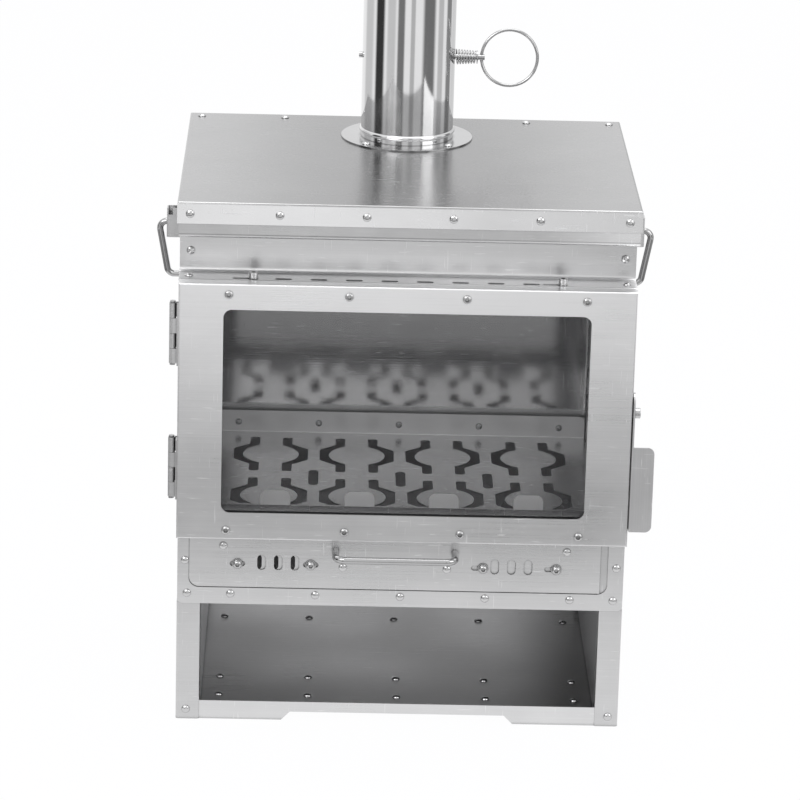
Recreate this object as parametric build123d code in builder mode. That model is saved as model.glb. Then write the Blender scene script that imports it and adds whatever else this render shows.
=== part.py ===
from build123d import *
import math
import os

# Camping wood stove in folded stainless sheet. Millimetres, +Z up, the front faces -Y.
# The origin is on the ground, under the middle of the stove.

# Sheet, gaps and fasteners
sheet = 1.2
bend = 2.4
slide_gap = 0.3
corner_gap = 1.5
hole_clearance = 0.1
pin_clearance = 0.05
rivet_head_radius = 3.5
rivet_head_height = 2.2
rivet_shank_radius = 1.6
rivet_tail_radius = 2.3
rivet_tail_height = 0.8

# Outer body
body_half_width = 187.6
body_front = -134.5
body_back = 164.6
ledge_height = 388.0
front_return = 20.0
corner_rivet_inset = 8.3
stile_rivet_inset = 6.4

# Base with the wood store
base_margin = 0.3
base_height = 104.9
stile_width = 20.3
stile_return = 15.0
floor_height = 7.4
rail_height = 9.0
foot_length = 89.6
store_back_gap = 14.6
channel_half_flat = 14.2
channel_flange = 14.8
front_channel_inset = 58.7
rear_channel_inset = 49.8
floor_rivet_pitch = 76.15
floor_rivet_rows = 21.4
channel_side_gap = 22.9

# Apron and drawer opening
apron_corner = 4.5
drawer_mouth_inset = 11.55
drawer_mouth_shift = -1.95
drawer_mouth_drop = 1.0
drawer_mouth_corner = 8.5
apron_rivet_rise = 9.1
apron_rivet_pitch = 71.4
stile_rivet_rise = 38.3
deck_rise = 14.5
drawer_space = 47.0

# Firebox
jacket_gap = 21.4
liner_back_gap = 63.6
mouth_lap = 8.2
mouth_rise = 11.6
mouth_drop = 16.0
mouth_corner = 10.0
cap_side_lip = 16.2
cap_front_lip = 16.8
cap_back_lip = 15.0

# Grate
grate_rise = 6.0
grate_side_gap = 1.2
grate_setback = 27.5
grate_nut_room = 1.4
grate_lip_height = 19.0
grate_lip_corner = 6.0
sill_lap = 4.5
rail_start_gap = 6.0
grate_bolt_pitch = 71.1
grate_bolt_height = 8.6
slot_columns = 4
slot_column_pitch = 75.0
slot_row_pitch = 112.1
slot_row_setback = 25.6
slot_half_length = 46.5
slot_tip_inner = 10.0
slot_tip_outer = 18.5
slot_elbow_outer = 32.4
slot_elbow_inner = 24.3
slot_elbow_half = 14.5
slot_shoulder = 28.0
slot_throat = 24.0
slot_corner = 2.2
slot_front_margin = 3.0
pill_length = 40.0
pill_width = 8.6
pill_setback = 75.0
log_stop_count = 4
log_stop_pitch = 71.1
log_stop_width = 25.0
log_stop_height = 13.4
log_stop_corner = 6.0
rail_leg = 10.0
rail_rivet_pitch = 142.2

# Recess above the door, with its air ledge
recess_depth = 26.5
recess_height = 37.6
recess_bend = 4.0
lip_height = 30.6
ledge_edge_radius = 1.0
vent_pitch = 29.2
vent_length = 14.0
vent_width = 5.0
vent_count = 8
vent_row_inset = 6.0
vent_row_x = -0.6
slider_bolt_margin = 25.3
slider_bolt_travel = 14.0
slider_slot_width = 4.6
slider_end = 22.5
slider_depth = 14.0
fascia_rivet_inset = 7.8
fascia_rivet_rise = 17.5
ledge_rivet_inset = 6.8
ledge_rivet_setback = 11.0

# Lid
lid_side_overhang = 2.6
lid_front_overhang = 10.5
lid_back_overhang = 1.4
lid_flange = 18.2
lid_edge_radius = 2.0
lid_rivet_drop = 9.8
lid_rivet_inner = 35.4
lid_rivet_pitch = 71.0
lid_rivet_inset = 10.6
back_rivet_inset = 13.2

# Flue
flue_y = 94.0
pipe_radius = 40.0
pipe_wall = 1.0
pipe_length = 300.0
socket_length = 45.0
socket_clearance = 0.2
bead_radius = 2.2
bead_depth = 1.5
bead_rise = 6.0
flue_flange_radius = 56.9
collar_height = 30.0
collar_clearance = 0.15
flange_rivet_radius = 50.3

# Damper
damper_rise = 70.6
damper_disc_clearance = 0.6
damper_disc_thickness = 1.5
damper_shaft_radius = 2.5
damper_shaft_tail = 3.0
damper_shaft_reach = 25.6
spring_large_radius = 6.1
spring_small_radius = 4.9
spring_wire_radius = 0.7
spring_length = 18.0
spring_turns = 7
ring_radius = 24.2
ring_wire_radius = 1.35
ring_tilt = 5.0

# Side handles
handle_y = 25.0
handle_wire_radius = 2.75
handle_rise = 6.2
handle_drop = 46.6
handle_top_reach = 24.2
handle_bottom_reach = 15.6
handle_bend = 6.0
handle_end_reach = 5.7
bracket_reach = 17.2
bracket_below = 12.9
bracket_above = 12.7
bracket_half_depth = 5.5
bracket_tab = 12.0
bracket_bend = 2.0
bracket_slot_width = 3.8
bracket_slot_height = 6.0
bracket_slot_inset = 1.4

# Door
door_margin = 0.8
door_gap = 0.8
door_depth = 11.3
door_top_gap = 0.1
door_plate = 1.5
door_edge_radius = 1.4
window_side = 37.0
window_sill = 23.7
window_head = 21.8
window_corner = 7.0
glass_thickness = 4.0
glass_overlap = 6.1
gasket_thickness = 1.0
gasket_width = 4.0
glass_side_gap = 1.0
retainer_side_gap = 2.5
retainer_foot = 12.0
retainer_lip = 7.0
door_screw_inner = 48.3
door_screw_inset = 41.3
door_screw_drop = 8.9
door_screw_rise = 8.3
screw_head_radius = 3.5
screw_head_height = 2.4
screw_shank_radius = 2.0
socket_width_radius = 1.9
socket_depth = 1.8
button_rounding = 0.7
cap_rounding = 0.12

# Hinges
hinge_offset = 4.9
barrel_radius = 2.9
hinge_pin_radius = 1.4
pin_head_radius = 2.3
hinge_length = 52.0
hinge_head_inset = 45.7
hinge_foot_inset = 59.6
knuckle_count = 4
knuckle_gap = 0.25
leaf_length = 18.0
door_leaf_length = 9.6
leaf_sheet = 1.2
leaf_rivet_radius = 2.2
leaf_rivet_reach = 11.2

# Latch
latch_inset = 6.0
latch_rise = 116.0
latch_plate = 1.4
latch_gap = 0.6
latch_half_width = 7.0
latch_above = 17.6
latch_tab_foot = 102.2
latch_tab_head = 28.2
latch_tab_width = 17.4
latch_tab_corner = 5.6
latch_arm_drop = 19.0
latch_arm_width = 6.0
latch_tip_start = 17.5
latch_tip_end = 23.0
latch_tip_drop = 14.6
latch_bolt_radius = 2.5
latch_head_radius = 4.4
latch_head_height = 4.4
stud_reach = 16.6
stud_drop = 10.4
stud_radius = 3.0
stud_length = 4.4
stud_rounding = 0.8

# Ash drawer
drawer_shift = -5.0
drawer_fit = 0.9
drawer_side_fit = 3.45
tray_side_gap = 6.2
tray_back_gap = 24.0
tray_drop = 4.5
tray_wall = 1.0
drawer_rivet_inset = 28.5
drawer_rivet_gap = 9.15
drawer_rivet_drop = 7.6
drawer_rivet_rise = 19.1
drawer_handle_half_width = 50.0
drawer_handle_drop = 10.3
drawer_handle_reach = 24.0
drawer_handle_radius = 3.0
drawer_handle_bend = 8.0

# Draught shutters in the drawer front
draught_inset = 74.7
draught_pitch = 14.0
draught_width = 7.2
draught_height = 13.6
draught_drop = 22.0
draught_count = 3
shutter_bolt_x = 30.75
shutter_slot_offset = 3.45
shutter_slot_length = 13.0
shutter_slot_width = 4.6
shutter_bolt_drop = 1.4
shutter_end = 11.25
shutter_half_height = 10.0
shutter_plate = 1.0
left_shutter_offset = 0.0
right_shutter_offset = 3.5
bolt_shank_radius = 2.0
bolt_head_radius = 3.6
bolt_head_height = 3.6
washer_radius = 4.5
washer_height = 0.8
nut_radius = 3.6
nut_height = 2.4
cap_head_height = 5.4
cap_head_radius = 3.9
grate_bolt_radius = 3.0

# Places worked out from the sizes above
inner_front = body_front + sheet
return_back = inner_front + sheet
inner_half_width = body_half_width - sheet
inner_back = body_back - sheet
corner_rivet_x = body_half_width - corner_rivet_inset
stile_rivet_x = body_half_width - stile_rivet_inset
base_half_width = body_half_width + base_margin
store_half_width = base_half_width - stile_width
store_back = body_back - store_back_gap
front_channel_centre = body_front + front_channel_inset
rear_channel_centre = body_back - rear_channel_inset
channel_half_length = base_half_width - channel_side_gap
rail_top = floor_height + rail_height
ash_deck_top = base_height + deck_rise
door_low = ash_deck_top + drawer_space
door_high = ledge_height - door_top_gap
door_half_width = body_half_width + door_margin
door_back = body_front - door_gap
door_front = door_back - door_depth
plate_back = door_front + door_plate
drawer_mouth_low = ash_deck_top
drawer_mouth_high = door_low - drawer_mouth_drop
drawer_mouth_half_width = body_half_width - drawer_mouth_inset
apron_rivet_height = base_height + apron_rivet_rise
stile_rivet_height = base_height + stile_rivet_rise
liner_half_width = body_half_width - jacket_gap
liner_back = body_back - liner_back_gap
mouth_half_width = liner_half_width - mouth_lap
mouth_low = door_low + mouth_rise
mouth_high = ledge_height - mouth_drop
grate_top = mouth_low + grate_rise
grate_under = grate_top - sheet
grate_half_width = liner_half_width - grate_side_gap
grate_front = body_front + grate_setback
grate_back = liner_back - sheet - nut_height - grate_nut_room
grate_bolt_z = grate_top + grate_bolt_height
front_row_y = grate_front + slot_row_setback
rear_row_y = front_row_y + slot_row_pitch
pill_y = grate_front + pill_setback
ledge_under = ledge_height - sheet
fascia_face = body_front + recess_depth
fascia_back = fascia_face + sheet
recess_top = ledge_height + recess_height
cap_opening_half_width = liner_half_width - cap_side_lip
cap_opening_front = fascia_back + cap_front_lip
cap_opening_back = liner_back - cap_back_lip
vent_row_y = body_front + vent_row_inset
slider_top = ledge_under - slide_gap
slider_bolt_x = (vent_count - 1) / 2 * vent_pitch + slider_bolt_margin
slider_half_length = slider_bolt_x + slider_end
fascia_rivet_x = body_half_width - fascia_rivet_inset
fascia_rivet_height = ledge_height + fascia_rivet_rise
ledge_rivet_x = body_half_width - ledge_rivet_inset
ledge_rivet_y = body_front + ledge_rivet_setback
lid_half_width = body_half_width + lid_side_overhang
lid_rivet_outer = lid_half_width - lid_rivet_inset
lid_rivets_x = (lid_rivet_inner, lid_rivet_inner + lid_rivet_pitch, lid_rivet_outer)
lid_front = body_front - lid_front_overhang
lid_back = body_back + lid_back_overhang
lid_top = recess_top + lip_height
lid_under = lid_top - sheet
lip_face = lid_front + sheet
lip_top = lid_under - lid_edge_radius / 2
channel_half_width = lid_half_width - sheet - hole_clearance
flange_top = lid_top + sheet
pipe_top = flange_top + pipe_length
pipe_bore = pipe_radius - pipe_wall
collar_radius = pipe_bore - collar_clearance
damper_z = flange_top + damper_rise
damper_disc_radius = pipe_bore - damper_disc_clearance
damper_shaft_left = pipe_radius + damper_shaft_tail
damper_shaft_right = pipe_radius + damper_shaft_reach
handle_top = ledge_height + handle_rise
handle_bottom = handle_top - handle_drop
bracket_low = handle_top - bracket_below
bracket_high = handle_top + bracket_above
window_half_width = door_half_width - window_side
window_low = door_low + window_sill
window_high = door_high - window_head
glass_front = plate_back + gasket_thickness
glass_back = glass_front + glass_thickness
glass_half_width = window_half_width + glass_overlap
glass_low = window_low - glass_overlap
glass_high = window_high + glass_overlap
retainer_half_length = glass_half_width - retainer_side_gap
door_screws_x = (door_screw_inner, door_half_width - door_screw_inset)
door_screw_high = door_high - door_screw_drop
door_screw_low = door_low + door_screw_rise
hinge_centres = (door_high - hinge_head_inset, door_low + hinge_foot_inset)
hinge_x = -(door_half_width + hinge_offset)
hinge_y = (door_back + body_front) / 2
latch_x = door_half_width + latch_gap
latch_y = door_front + latch_inset
latch_z = door_low + latch_rise
latch_top = latch_z + latch_above
latch_tab_low = latch_z - latch_tab_foot
latch_tab_high = latch_z - latch_tab_head
stud_y = latch_y + stud_reach
stud_z = latch_z - stud_drop
drawer_face = body_front - slide_gap
drawer_back = drawer_face + sheet
drawer_front_half_width = drawer_mouth_half_width - drawer_side_fit
drawer_front_low = drawer_mouth_low + drawer_fit
drawer_front_high = drawer_mouth_high - drawer_fit
tray_low = ash_deck_top + slide_gap
tray_high = drawer_front_high - tray_drop
tray_half_width = liner_half_width - tray_side_gap
tray_back = liner_back - tray_back_gap
drawer_handle_height = drawer_front_high - drawer_handle_drop
draught_x = drawer_front_half_width - draught_inset
draught_z = drawer_front_high - draught_drop
shutter_bolt_z = draught_z - shutter_bolt_drop
shutter_slot_x = draught_x + shutter_slot_offset
shutter_half_length = shutter_bolt_x + shutter_end
shutter_window = shutter_half_length + shutter_slot_length / 2
drawer_rivet_outer = drawer_front_half_width - drawer_rivet_inset
drawer_rivet_inner = shutter_slot_x - shutter_window - drawer_rivet_gap
shank_hole = rivet_shank_radius + hole_clearance
through = 4 * sheet
five_places = range(-2, 3)
flange_rivet_angles = range(45, 360, 90)

os.makedirs("parts", exist_ok=True)


def save(part, name):
    """Label a finished piece and write it to its own file."""
    part.label = name
    export_step(part, f"parts/{name}.step")


def block(low, high, mode=Mode.ADD):
    """Box between two corners."""
    with Locations(tuple((a + b) / 2 for a, b in zip(low, high))):
        Box(*[b - a for a, b in zip(low, high)], mode=mode)


def drill(seats, radius, depth):
    """Round holes that start at each seat and run inwards."""
    with Locations(*seats):
        Cylinder(radius, depth, align=(Align.CENTER, Align.CENTER, Align.MAX), mode=Mode.SUBTRACT)


def folded_sheet(plane, points, radius, length, side, thickness=sheet):
    """Sheet folded along an open line on a plane, and as long as the given length, half to each side."""
    with BuildPart() as folded:
        with BuildSketch(plane):
            with BuildLine():
                FilletPolyline(*points, radius=radius)
                offset(amount=thickness, side=side)
            make_face()
        extrude(amount=length / 2, both=True)
    return folded.part


def mirrored_points(points):
    """Open line on the left half, carried on by its mirror image on the right."""
    return points + [(-x, y) for x, y in reversed(points)]


def front_seat(x, z, y):
    """Seat on a face that looks forward."""
    return Plane(origin=(x, y, z), x_dir=(1, 0, 0), z_dir=(0, -1, 0))


def top_seat(x, y, z):
    """Seat on a face that looks up."""
    return Plane(origin=(x, y, z), x_dir=(1, 0, 0), z_dir=(0, 0, 1))


def side_seat(x, y, z):
    """Seat on a side face that looks away from the middle."""
    return Plane(origin=(x, y, z), x_dir=(0, 1, 0), z_dir=(math.copysign(1, x), 0, 0))


def turned(outline):
    """Solid turned about the Z axis from its half outline."""
    with BuildPart() as solid:
        with BuildSketch(Plane.XZ):
            with BuildLine():
                Polyline(*outline, close=True)
            make_face()
        revolve(axis=Axis.Z)
    return solid.part


def dome_radius(head_radius):
    """Radius of the sphere that gives a rivet head its height."""
    return (head_radius**2 + rivet_head_height**2) / (2 * rivet_head_height)


def rivets(seats, grip, head_radius=rivet_head_radius):
    """Dome-headed rivets, one on each seat, closed behind sheets as thick as the grip."""
    tail_end = -grip - rivet_tail_height
    with BuildPart() as rivet:
        with BuildSketch(Plane.XZ):
            with BuildLine():
                Polyline(
                    (0, rivet_head_height),
                    (0, tail_end),
                    (rivet_tail_radius, tail_end),
                    (rivet_tail_radius, -grip),
                    (rivet_shank_radius, -grip),
                    (rivet_shank_radius, 0),
                    (head_radius, 0),
                )
                RadiusArc((head_radius, 0), (0, rivet_head_height), -dome_radius(head_radius))
            make_face()
        revolve(axis=Axis.Z)
    with BuildPart() as group:
        with Locations(*seats):
            add(rivet.part)
    return group.part


def bolts(seats, grip, head_radius, head_height, rounding, washer=False, shank=bolt_shank_radius):
    """Socket-head bolts, one on each seat, with a nut behind and a washer where asked."""
    base = washer_height if washer else 0
    with BuildPart() as bolt:
        with Locations((0, 0, base + head_height / 2)):
            Cylinder(head_radius, head_height)
        fillet(bolt.edges().group_by(Axis.Z)[-1], head_height * rounding)
        if washer:
            with Locations((0, 0, washer_height / 2)):
                Cylinder(washer_radius, washer_height)
        with Locations((0, 0, -grip / 2)):
            Cylinder(shank, grip)
        with BuildSketch(Plane.XY.offset(-grip)):
            RegularPolygon(nut_radius, 6)
        extrude(amount=-nut_height)
        with BuildSketch(Plane.XY.offset(base + head_height)):
            RegularPolygon(socket_width_radius, 6)
        extrude(amount=-socket_depth, mode=Mode.SUBTRACT)
    with BuildPart() as group:
        with Locations(*seats):
            add(bolt.part)
    return group.part


def bent_wire(points, bend_radius, wire_radius):
    """Round wire along straight runs joined by bends."""
    with BuildPart() as wire:
        with BuildLine() as route:
            FilletPolyline(*points, radius=bend_radius)
        with BuildSketch(Plane(origin=route.line @ 0, z_dir=route.line % 0)):
            Circle(wire_radius)
        sweep(path=route.line)
    return wire.part


# Base shell: both outer sides, the back and the two front stiles
base_outline = mirrored_points(
    [
        (-store_half_width, inner_front + stile_return),
        (-store_half_width, inner_front),
        (-base_half_width, inner_front),
        (-base_half_width, body_back),
    ]
)
base_sheet = folded_sheet(
    Plane.XY.offset(base_height / 2), base_outline, bend, base_height, Side.RIGHT
)
base_corner_z = floor_height + sheet + hole_clearance
base_corner_seats = [front_seat(s * corner_rivet_x, base_corner_z, inner_front) for s in (-1, 1)]
with BuildPart() as base_shell:
    add(base_sheet)
    for s in (-1, 1):
        notch_ends = (s * (store_half_width - corner_gap), s * (store_half_width + 2 * bend))
        block(
            (min(notch_ends), return_back, 0),
            (max(notch_ends), inner_front + stile_return + corner_gap, rail_top + slide_gap),
            Mode.SUBTRACT,
        )
    drill(base_corner_seats, shank_hole, through)
save(base_shell.part, "base_shell")

# Store liner: the inner sides and back of the wood store
liner_top = ash_deck_top - sheet
store_outline = mirrored_points(
    [(-store_half_width, inner_front + stile_return), (-store_half_width, store_back)]
)
store_height = liner_top - floor_height - sheet
store_sheet = folded_sheet(
    Plane.XY.offset(liner_top - store_height / 2), store_outline, bend, store_height, Side.LEFT
)
with BuildPart() as store_liner:
    add(store_sheet)
save(store_liner.part, "store_liner")

# Front rail with its two feet, behind the stiles
rail_half_width = base_half_width - sheet - corner_gap
foot_inner = base_half_width - foot_length
with BuildPart() as base_front_rail:
    with BuildSketch(Plane.XZ.offset(-return_back - sheet)):
        with BuildLine():
            Polyline(
                (-rail_half_width, 0),
                (-foot_inner, 0),
                (-foot_inner + floor_height, floor_height),
                (foot_inner - floor_height, floor_height),
                (foot_inner, 0),
                (rail_half_width, 0),
                (rail_half_width, rail_top),
                (-rail_half_width, rail_top),
                close=True,
            )
        make_face()
    extrude(amount=sheet)
    drill(base_corner_seats, shank_hole, through)
save(base_front_rail.part, "base_front_rail")

# Store floor, on two hat channels that stand on the ground
floor_front = return_back + sheet + rivet_tail_height + slide_gap
channel_centres = (front_channel_centre, rear_channel_centre)
floor_seats = [
    top_seat(i * floor_rivet_pitch, centre + s * floor_rivet_rows, floor_height + sheet)
    for centre in channel_centres
    for s in (-1, 1)
    for i in five_places
]
with BuildPart() as store_floor:
    block(
        (-rail_half_width, floor_front, floor_height),
        (rail_half_width, inner_back, floor_height + sheet),
    )
    drill(floor_seats, shank_hole, through)
save(store_floor.part, "store_floor")


def hat_points(centre):
    """Underside of a hat channel, seen from the side."""
    flange_under = floor_height - sheet
    outer = channel_half_flat + channel_flange
    return [
        (centre - outer, flange_under),
        (centre - channel_half_flat, flange_under),
        (centre - channel_half_flat, 0),
        (centre + channel_half_flat, 0),
        (centre + channel_half_flat, flange_under),
        (centre + outer, flange_under),
    ]


hat_sheets = [
    folded_sheet(Plane.YZ, hat_points(centre), sheet + slide_gap, 2 * channel_half_length, Side.LEFT)
    for centre in channel_centres
]
with BuildPart() as floor_channels:
    for hat in hat_sheets:
        add(hat)
    drill(floor_seats, shank_hole, through)
save(floor_channels.part, "floor_channels")

base_corner_rivets = rivets(base_corner_seats, 2 * sheet)
floor_rivets = rivets(floor_seats, 2 * sheet)
with BuildPart() as base_rivets:
    add(base_corner_rivets)
    add(floor_rivets)
save(base_rivets.part, "base_rivets")

# Ash deck: the roof of the store and the runway of the drawer
apron_seats = [
    front_seat(i * apron_rivet_pitch, apron_rivet_height, body_front) for i in five_places
]
deck_half_width = inner_half_width - corner_gap
with BuildPart() as ash_deck:
    block(
        (-deck_half_width, return_back + hole_clearance, ash_deck_top - sheet),
        (deck_half_width, inner_back, ash_deck_top),
    )
    block(
        (-liner_half_width, inner_front, ash_deck_top - sheet),
        (liner_half_width, return_back + hole_clearance, ash_deck_top),
    )
    block(
        (-liner_half_width, inner_front, base_height),
        (liner_half_width, return_back, ash_deck_top),
    )
    drill(apron_seats, shank_hole, through)
save(ash_deck.part, "ash_deck")

# Front panel: apron, drawer opening and firebox mouth
stile_seats = [front_seat(s * stile_rivet_x, stile_rivet_height, body_front) for s in (-1, 1)]
corner_seats = [front_seat(s * corner_rivet_x, apron_rivet_height, body_front) for s in (-1, 1)]
panel_half_width = body_half_width - hole_clearance
with BuildPart() as front_panel:
    with BuildSketch(Plane.XZ.offset(-inner_front)) as panel_face:
        with Locations((0, (base_height + ledge_under) / 2)):
            Rectangle(2 * panel_half_width, ledge_under - base_height)
        fillet(panel_face.vertices().group_by(Axis.Y)[0], apron_corner)
        with Locations((drawer_mouth_shift, (drawer_mouth_low + drawer_mouth_high) / 2)):
            Rectangle(
                2 * drawer_mouth_half_width,
                drawer_mouth_high - drawer_mouth_low,
                mode=Mode.SUBTRACT,
            )
        fillet(panel_face.vertices().group_by(Axis.Y)[2], drawer_mouth_corner)
        with Locations((0, (mouth_low + mouth_high) / 2)):
            RectangleRounded(
                2 * mouth_half_width, mouth_high - mouth_low, mouth_corner, mode=Mode.SUBTRACT
            )
    extrude(amount=sheet)
    drill(apron_seats + stile_seats + corner_seats, shank_hole, through)
save(front_panel.part, "front_panel")

panel_rivets = rivets(apron_seats + stile_seats + corner_seats, 2 * sheet)
with BuildPart() as front_panel_rivets:
    add(panel_rivets)
save(front_panel_rivets.part, "front_panel_rivets")

# Body shell: both sides and the back, with front returns and a recess for the air ledge
lower_outline = mirrored_points(
    [
        (-body_half_width + front_return, inner_front),
        (-body_half_width, inner_front),
        (-body_half_width, body_back),
    ]
)
lower_height = ledge_under - base_height
lower_sheet = folded_sheet(
    Plane.XY.offset(base_height + lower_height / 2), lower_outline, bend, lower_height, Side.RIGHT
)
upper_outline = mirrored_points(
    [(-body_half_width, lip_face + sheet), (-body_half_width, body_back)]
)
upper_height = lid_under - lid_edge_radius / 2 - ledge_under
upper_sheet = folded_sheet(
    Plane.XY.offset(ledge_under + upper_height / 2), upper_outline, bend, upper_height, Side.RIGHT
)
back_flange_front = lid_back - 2 * back_rivet_inset
bracket_seats = [
    side_seat(
        s * (body_half_width + sheet),
        handle_y + t * (bracket_half_depth + bracket_tab / 2),
        (bracket_low + bracket_high) / 2,
    )
    for s in (-1, 1)
    for t in (-1, 1)
]
back_rivets_seats = [
    top_seat(s * x, lid_back - back_rivet_inset, lid_top) for x in lid_rivets_x for s in (-1, 1)
]
hinge_leaf_seats = [
    side_seat(
        -(body_half_width + leaf_sheet), hinge_y + leaf_rivet_reach, centre + s * hinge_length / 3
    )
    for centre in hinge_centres
    for s in (-1, 1)
]
with BuildPart() as body_shell:
    add(lower_sheet)
    add(upper_sheet)
    with BuildSketch(Plane.YZ):
        recess_high = recess_top + sheet
        with BuildLine():
            FilletPolyline(
                (lid_front - corner_gap, ledge_under),
                (fascia_back, ledge_under),
                (fascia_back, recess_high),
                (lid_front - corner_gap, recess_high),
                radius=recess_bend + sheet,
            )
            Line(
                (lid_front - corner_gap, recess_high),
                (lid_front - corner_gap, ledge_under),
            )
        make_face()
    extrude(amount=lid_half_width, both=True, mode=Mode.SUBTRACT)
    lip_corners = (
        body_shell.edges()
        .filter_by(Axis.X)
        .filter_by_position(
            Axis.Y, lip_face + sheet - hole_clearance, lip_face + sheet + hole_clearance
        )
        .group_by(Axis.Z)[0]
    )
    fillet(lip_corners, recess_bend)
    block(
        (-inner_half_width + corner_gap, back_flange_front, lid_under - sheet),
        (inner_half_width - corner_gap, inner_back, lid_under),
    )
    drill(back_rivets_seats, shank_hole, through)
    drill(stile_seats + corner_seats, shank_hole, through)
    drill(bracket_seats + hinge_leaf_seats, shank_hole, through)
save(body_shell.part, "body_shell")

# Firebox liner: inner sides and back wall
firebox_outline = mirrored_points(
    [(-liner_half_width, inner_front), (-liner_half_width, liner_back)]
)
firebox_height = ledge_under - ash_deck_top
firebox_sheet = folded_sheet(
    Plane.XY.offset(ash_deck_top + firebox_height / 2), firebox_outline, bend, firebox_height, Side.LEFT
)
rear_rail_low = grate_under - rail_leg
rear_rail_seats = [
    front_seat(i * rail_rivet_pitch, rear_rail_low + rail_leg / 2, liner_back - sheet)
    for i in (-1, 0, 1)
]
with BuildPart() as firebox_liner:
    add(firebox_sheet)
    drill(rear_rail_seats, shank_hole, through)
save(firebox_liner.part, "firebox_liner")

# Liner cap: closes the double walls and leaves the way up to the flue
with BuildPart() as liner_cap:
    block(
        (-deck_half_width, fascia_back, ledge_under),
        (deck_half_width, inner_back, ledge_height),
    )
    block(
        (-cap_opening_half_width, cap_opening_front, ledge_under),
        (cap_opening_half_width, cap_opening_back, ledge_height),
        Mode.SUBTRACT,
    )
save(liner_cap.part, "liner_cap")

# Front sill, which carries the front of the grate
with BuildPart() as front_sill:
    block(
        (-liner_half_width, inner_front, mouth_low - sheet),
        (liner_half_width, grate_front + sill_lap, mouth_low),
    )
save(front_sill.part, "front_sill")

# Grate rails on the liner's sides and back
with BuildPart() as grate_rails:
    for s in (-1, 1):
        outer_x = s * liner_half_width
        for x, low, high in (
            (s * (liner_half_width - rail_leg), grate_under - sheet, grate_under),
            (s * (liner_half_width - sheet), grate_under - rail_leg, grate_under),
        ):
            block(
                (min(x, outer_x), grate_front + rail_start_gap, low),
                (max(x, outer_x), grate_back - rail_leg, high),
            )
    rear_half = liner_half_width - bend
    block(
        (-rear_half, grate_back - rail_leg + corner_gap, grate_under - sheet),
        (rear_half, liner_back, grate_under),
    )
    block(
        (-rear_half, liner_back - sheet, rear_rail_low),
        (rear_half, liner_back, grate_under),
    )
    grate_bolt_seats = [
        front_seat(i * grate_bolt_pitch, grate_bolt_z, grate_back - sheet) for i in five_places
    ]
    block(
        (-grate_half_width, grate_back, grate_under - sheet),
        (grate_half_width, grate_back + sheet, grate_top + grate_lip_height - sheet),
    )
    drill(grate_bolt_seats, bolt_shank_radius + hole_clearance, through)
    drill(rear_rail_seats, shank_hole, through)
save(grate_rails.part, "grate_rails")

rail_rivets = rivets(rear_rail_seats, 2 * sheet)
with BuildPart() as grate_rail_rivets:
    add(rail_rivets)
save(grate_rail_rivets.part, "grate_rail_rivets")


def bracket_slot(side):
    """Slot outline like an angle bracket, its elbow to the given side."""
    outer = [
        (side * slot_tip_inner, slot_throat),
        (side * slot_tip_inner, slot_half_length),
        (side * slot_tip_outer, slot_half_length),
        (side * slot_tip_outer, slot_shoulder),
        (side * slot_elbow_outer, slot_elbow_half),
        (side * slot_elbow_outer, -slot_elbow_half),
        (side * slot_tip_outer, -slot_shoulder),
        (side * slot_tip_outer, -slot_half_length),
        (side * slot_tip_inner, -slot_half_length),
        (side * slot_tip_inner, -slot_throat),
    ]
    with BuildSketch() as outline:
        with BuildLine():
            Polyline(*outer)
            ThreePointArc(outer[-1], (side * slot_elbow_inner, 0), outer[0])
        make_face()
        fillet(outline.vertices(), slot_corner)
    return outline.sketch


column_xs = [(i - (slot_columns - 1) / 2) * slot_column_pitch for i in range(slot_columns)]
pill_xs = [(left + right) / 2 for left, right in zip(column_xs, column_xs[1:])]
log_stop_xs = [(i - (log_stop_count - 1) / 2) * log_stop_pitch for i in range(log_stop_count)]
slot_pair = [bracket_slot(-1), bracket_slot(1)]

# Grate: slotted plate with a rear lip and four upright log stops
with BuildPart() as grate:
    block(
        (-grate_half_width, grate_front, grate_under),
        (grate_half_width, grate_back, grate_top),
    )
    block(
        (-grate_half_width, grate_front, mouth_low),
        (grate_half_width, grate_front + sheet, grate_top),
    )
    with BuildSketch(Plane.XZ.offset(-grate_back)) as lip_outline:
        with Locations((0, (grate_under + grate_top + grate_lip_height) / 2)):
            Rectangle(2 * grate_half_width, grate_lip_height + sheet)
        fillet(lip_outline.vertices().group_by(Axis.Y)[-1], grate_lip_corner)
    extrude(amount=sheet)
    with BuildSketch(Plane.XZ.offset(-grate_front)) as stop_outline:
        stop_low = mouth_low + corner_gap
        for x in log_stop_xs:
            with Locations((x, (stop_low + grate_top + log_stop_height) / 2)):
                Rectangle(log_stop_width, grate_top + log_stop_height - stop_low)
        fillet(stop_outline.vertices().group_by(Axis.Y)[-1], log_stop_corner)
    extrude(amount=sheet)
    with BuildSketch(Plane.XY.offset(grate_top)):
        for x in column_xs:
            for y in (rear_row_y, front_row_y):
                with Locations((x, y)):
                    for outline in slot_pair:
                        add(outline)
        with Locations((0, grate_front)):
            Rectangle(2 * grate_half_width, 2 * slot_front_margin, mode=Mode.SUBTRACT)
        with Locations(*[(x, pill_y) for x in pill_xs]):
            SlotOverall(pill_length, pill_width, rotation=90)
    extrude(amount=-2 * sheet, mode=Mode.SUBTRACT)
    drill(grate_bolt_seats, bolt_shank_radius + hole_clearance, through)
save(grate.part, "grate")

grate_bolt_group = bolts(
    grate_bolt_seats, 2 * sheet, grate_bolt_radius, screw_head_height, button_rounding
)
with BuildPart() as grate_bolts:
    add(grate_bolt_group)
save(grate_bolts.part, "grate_bolts")

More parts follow.
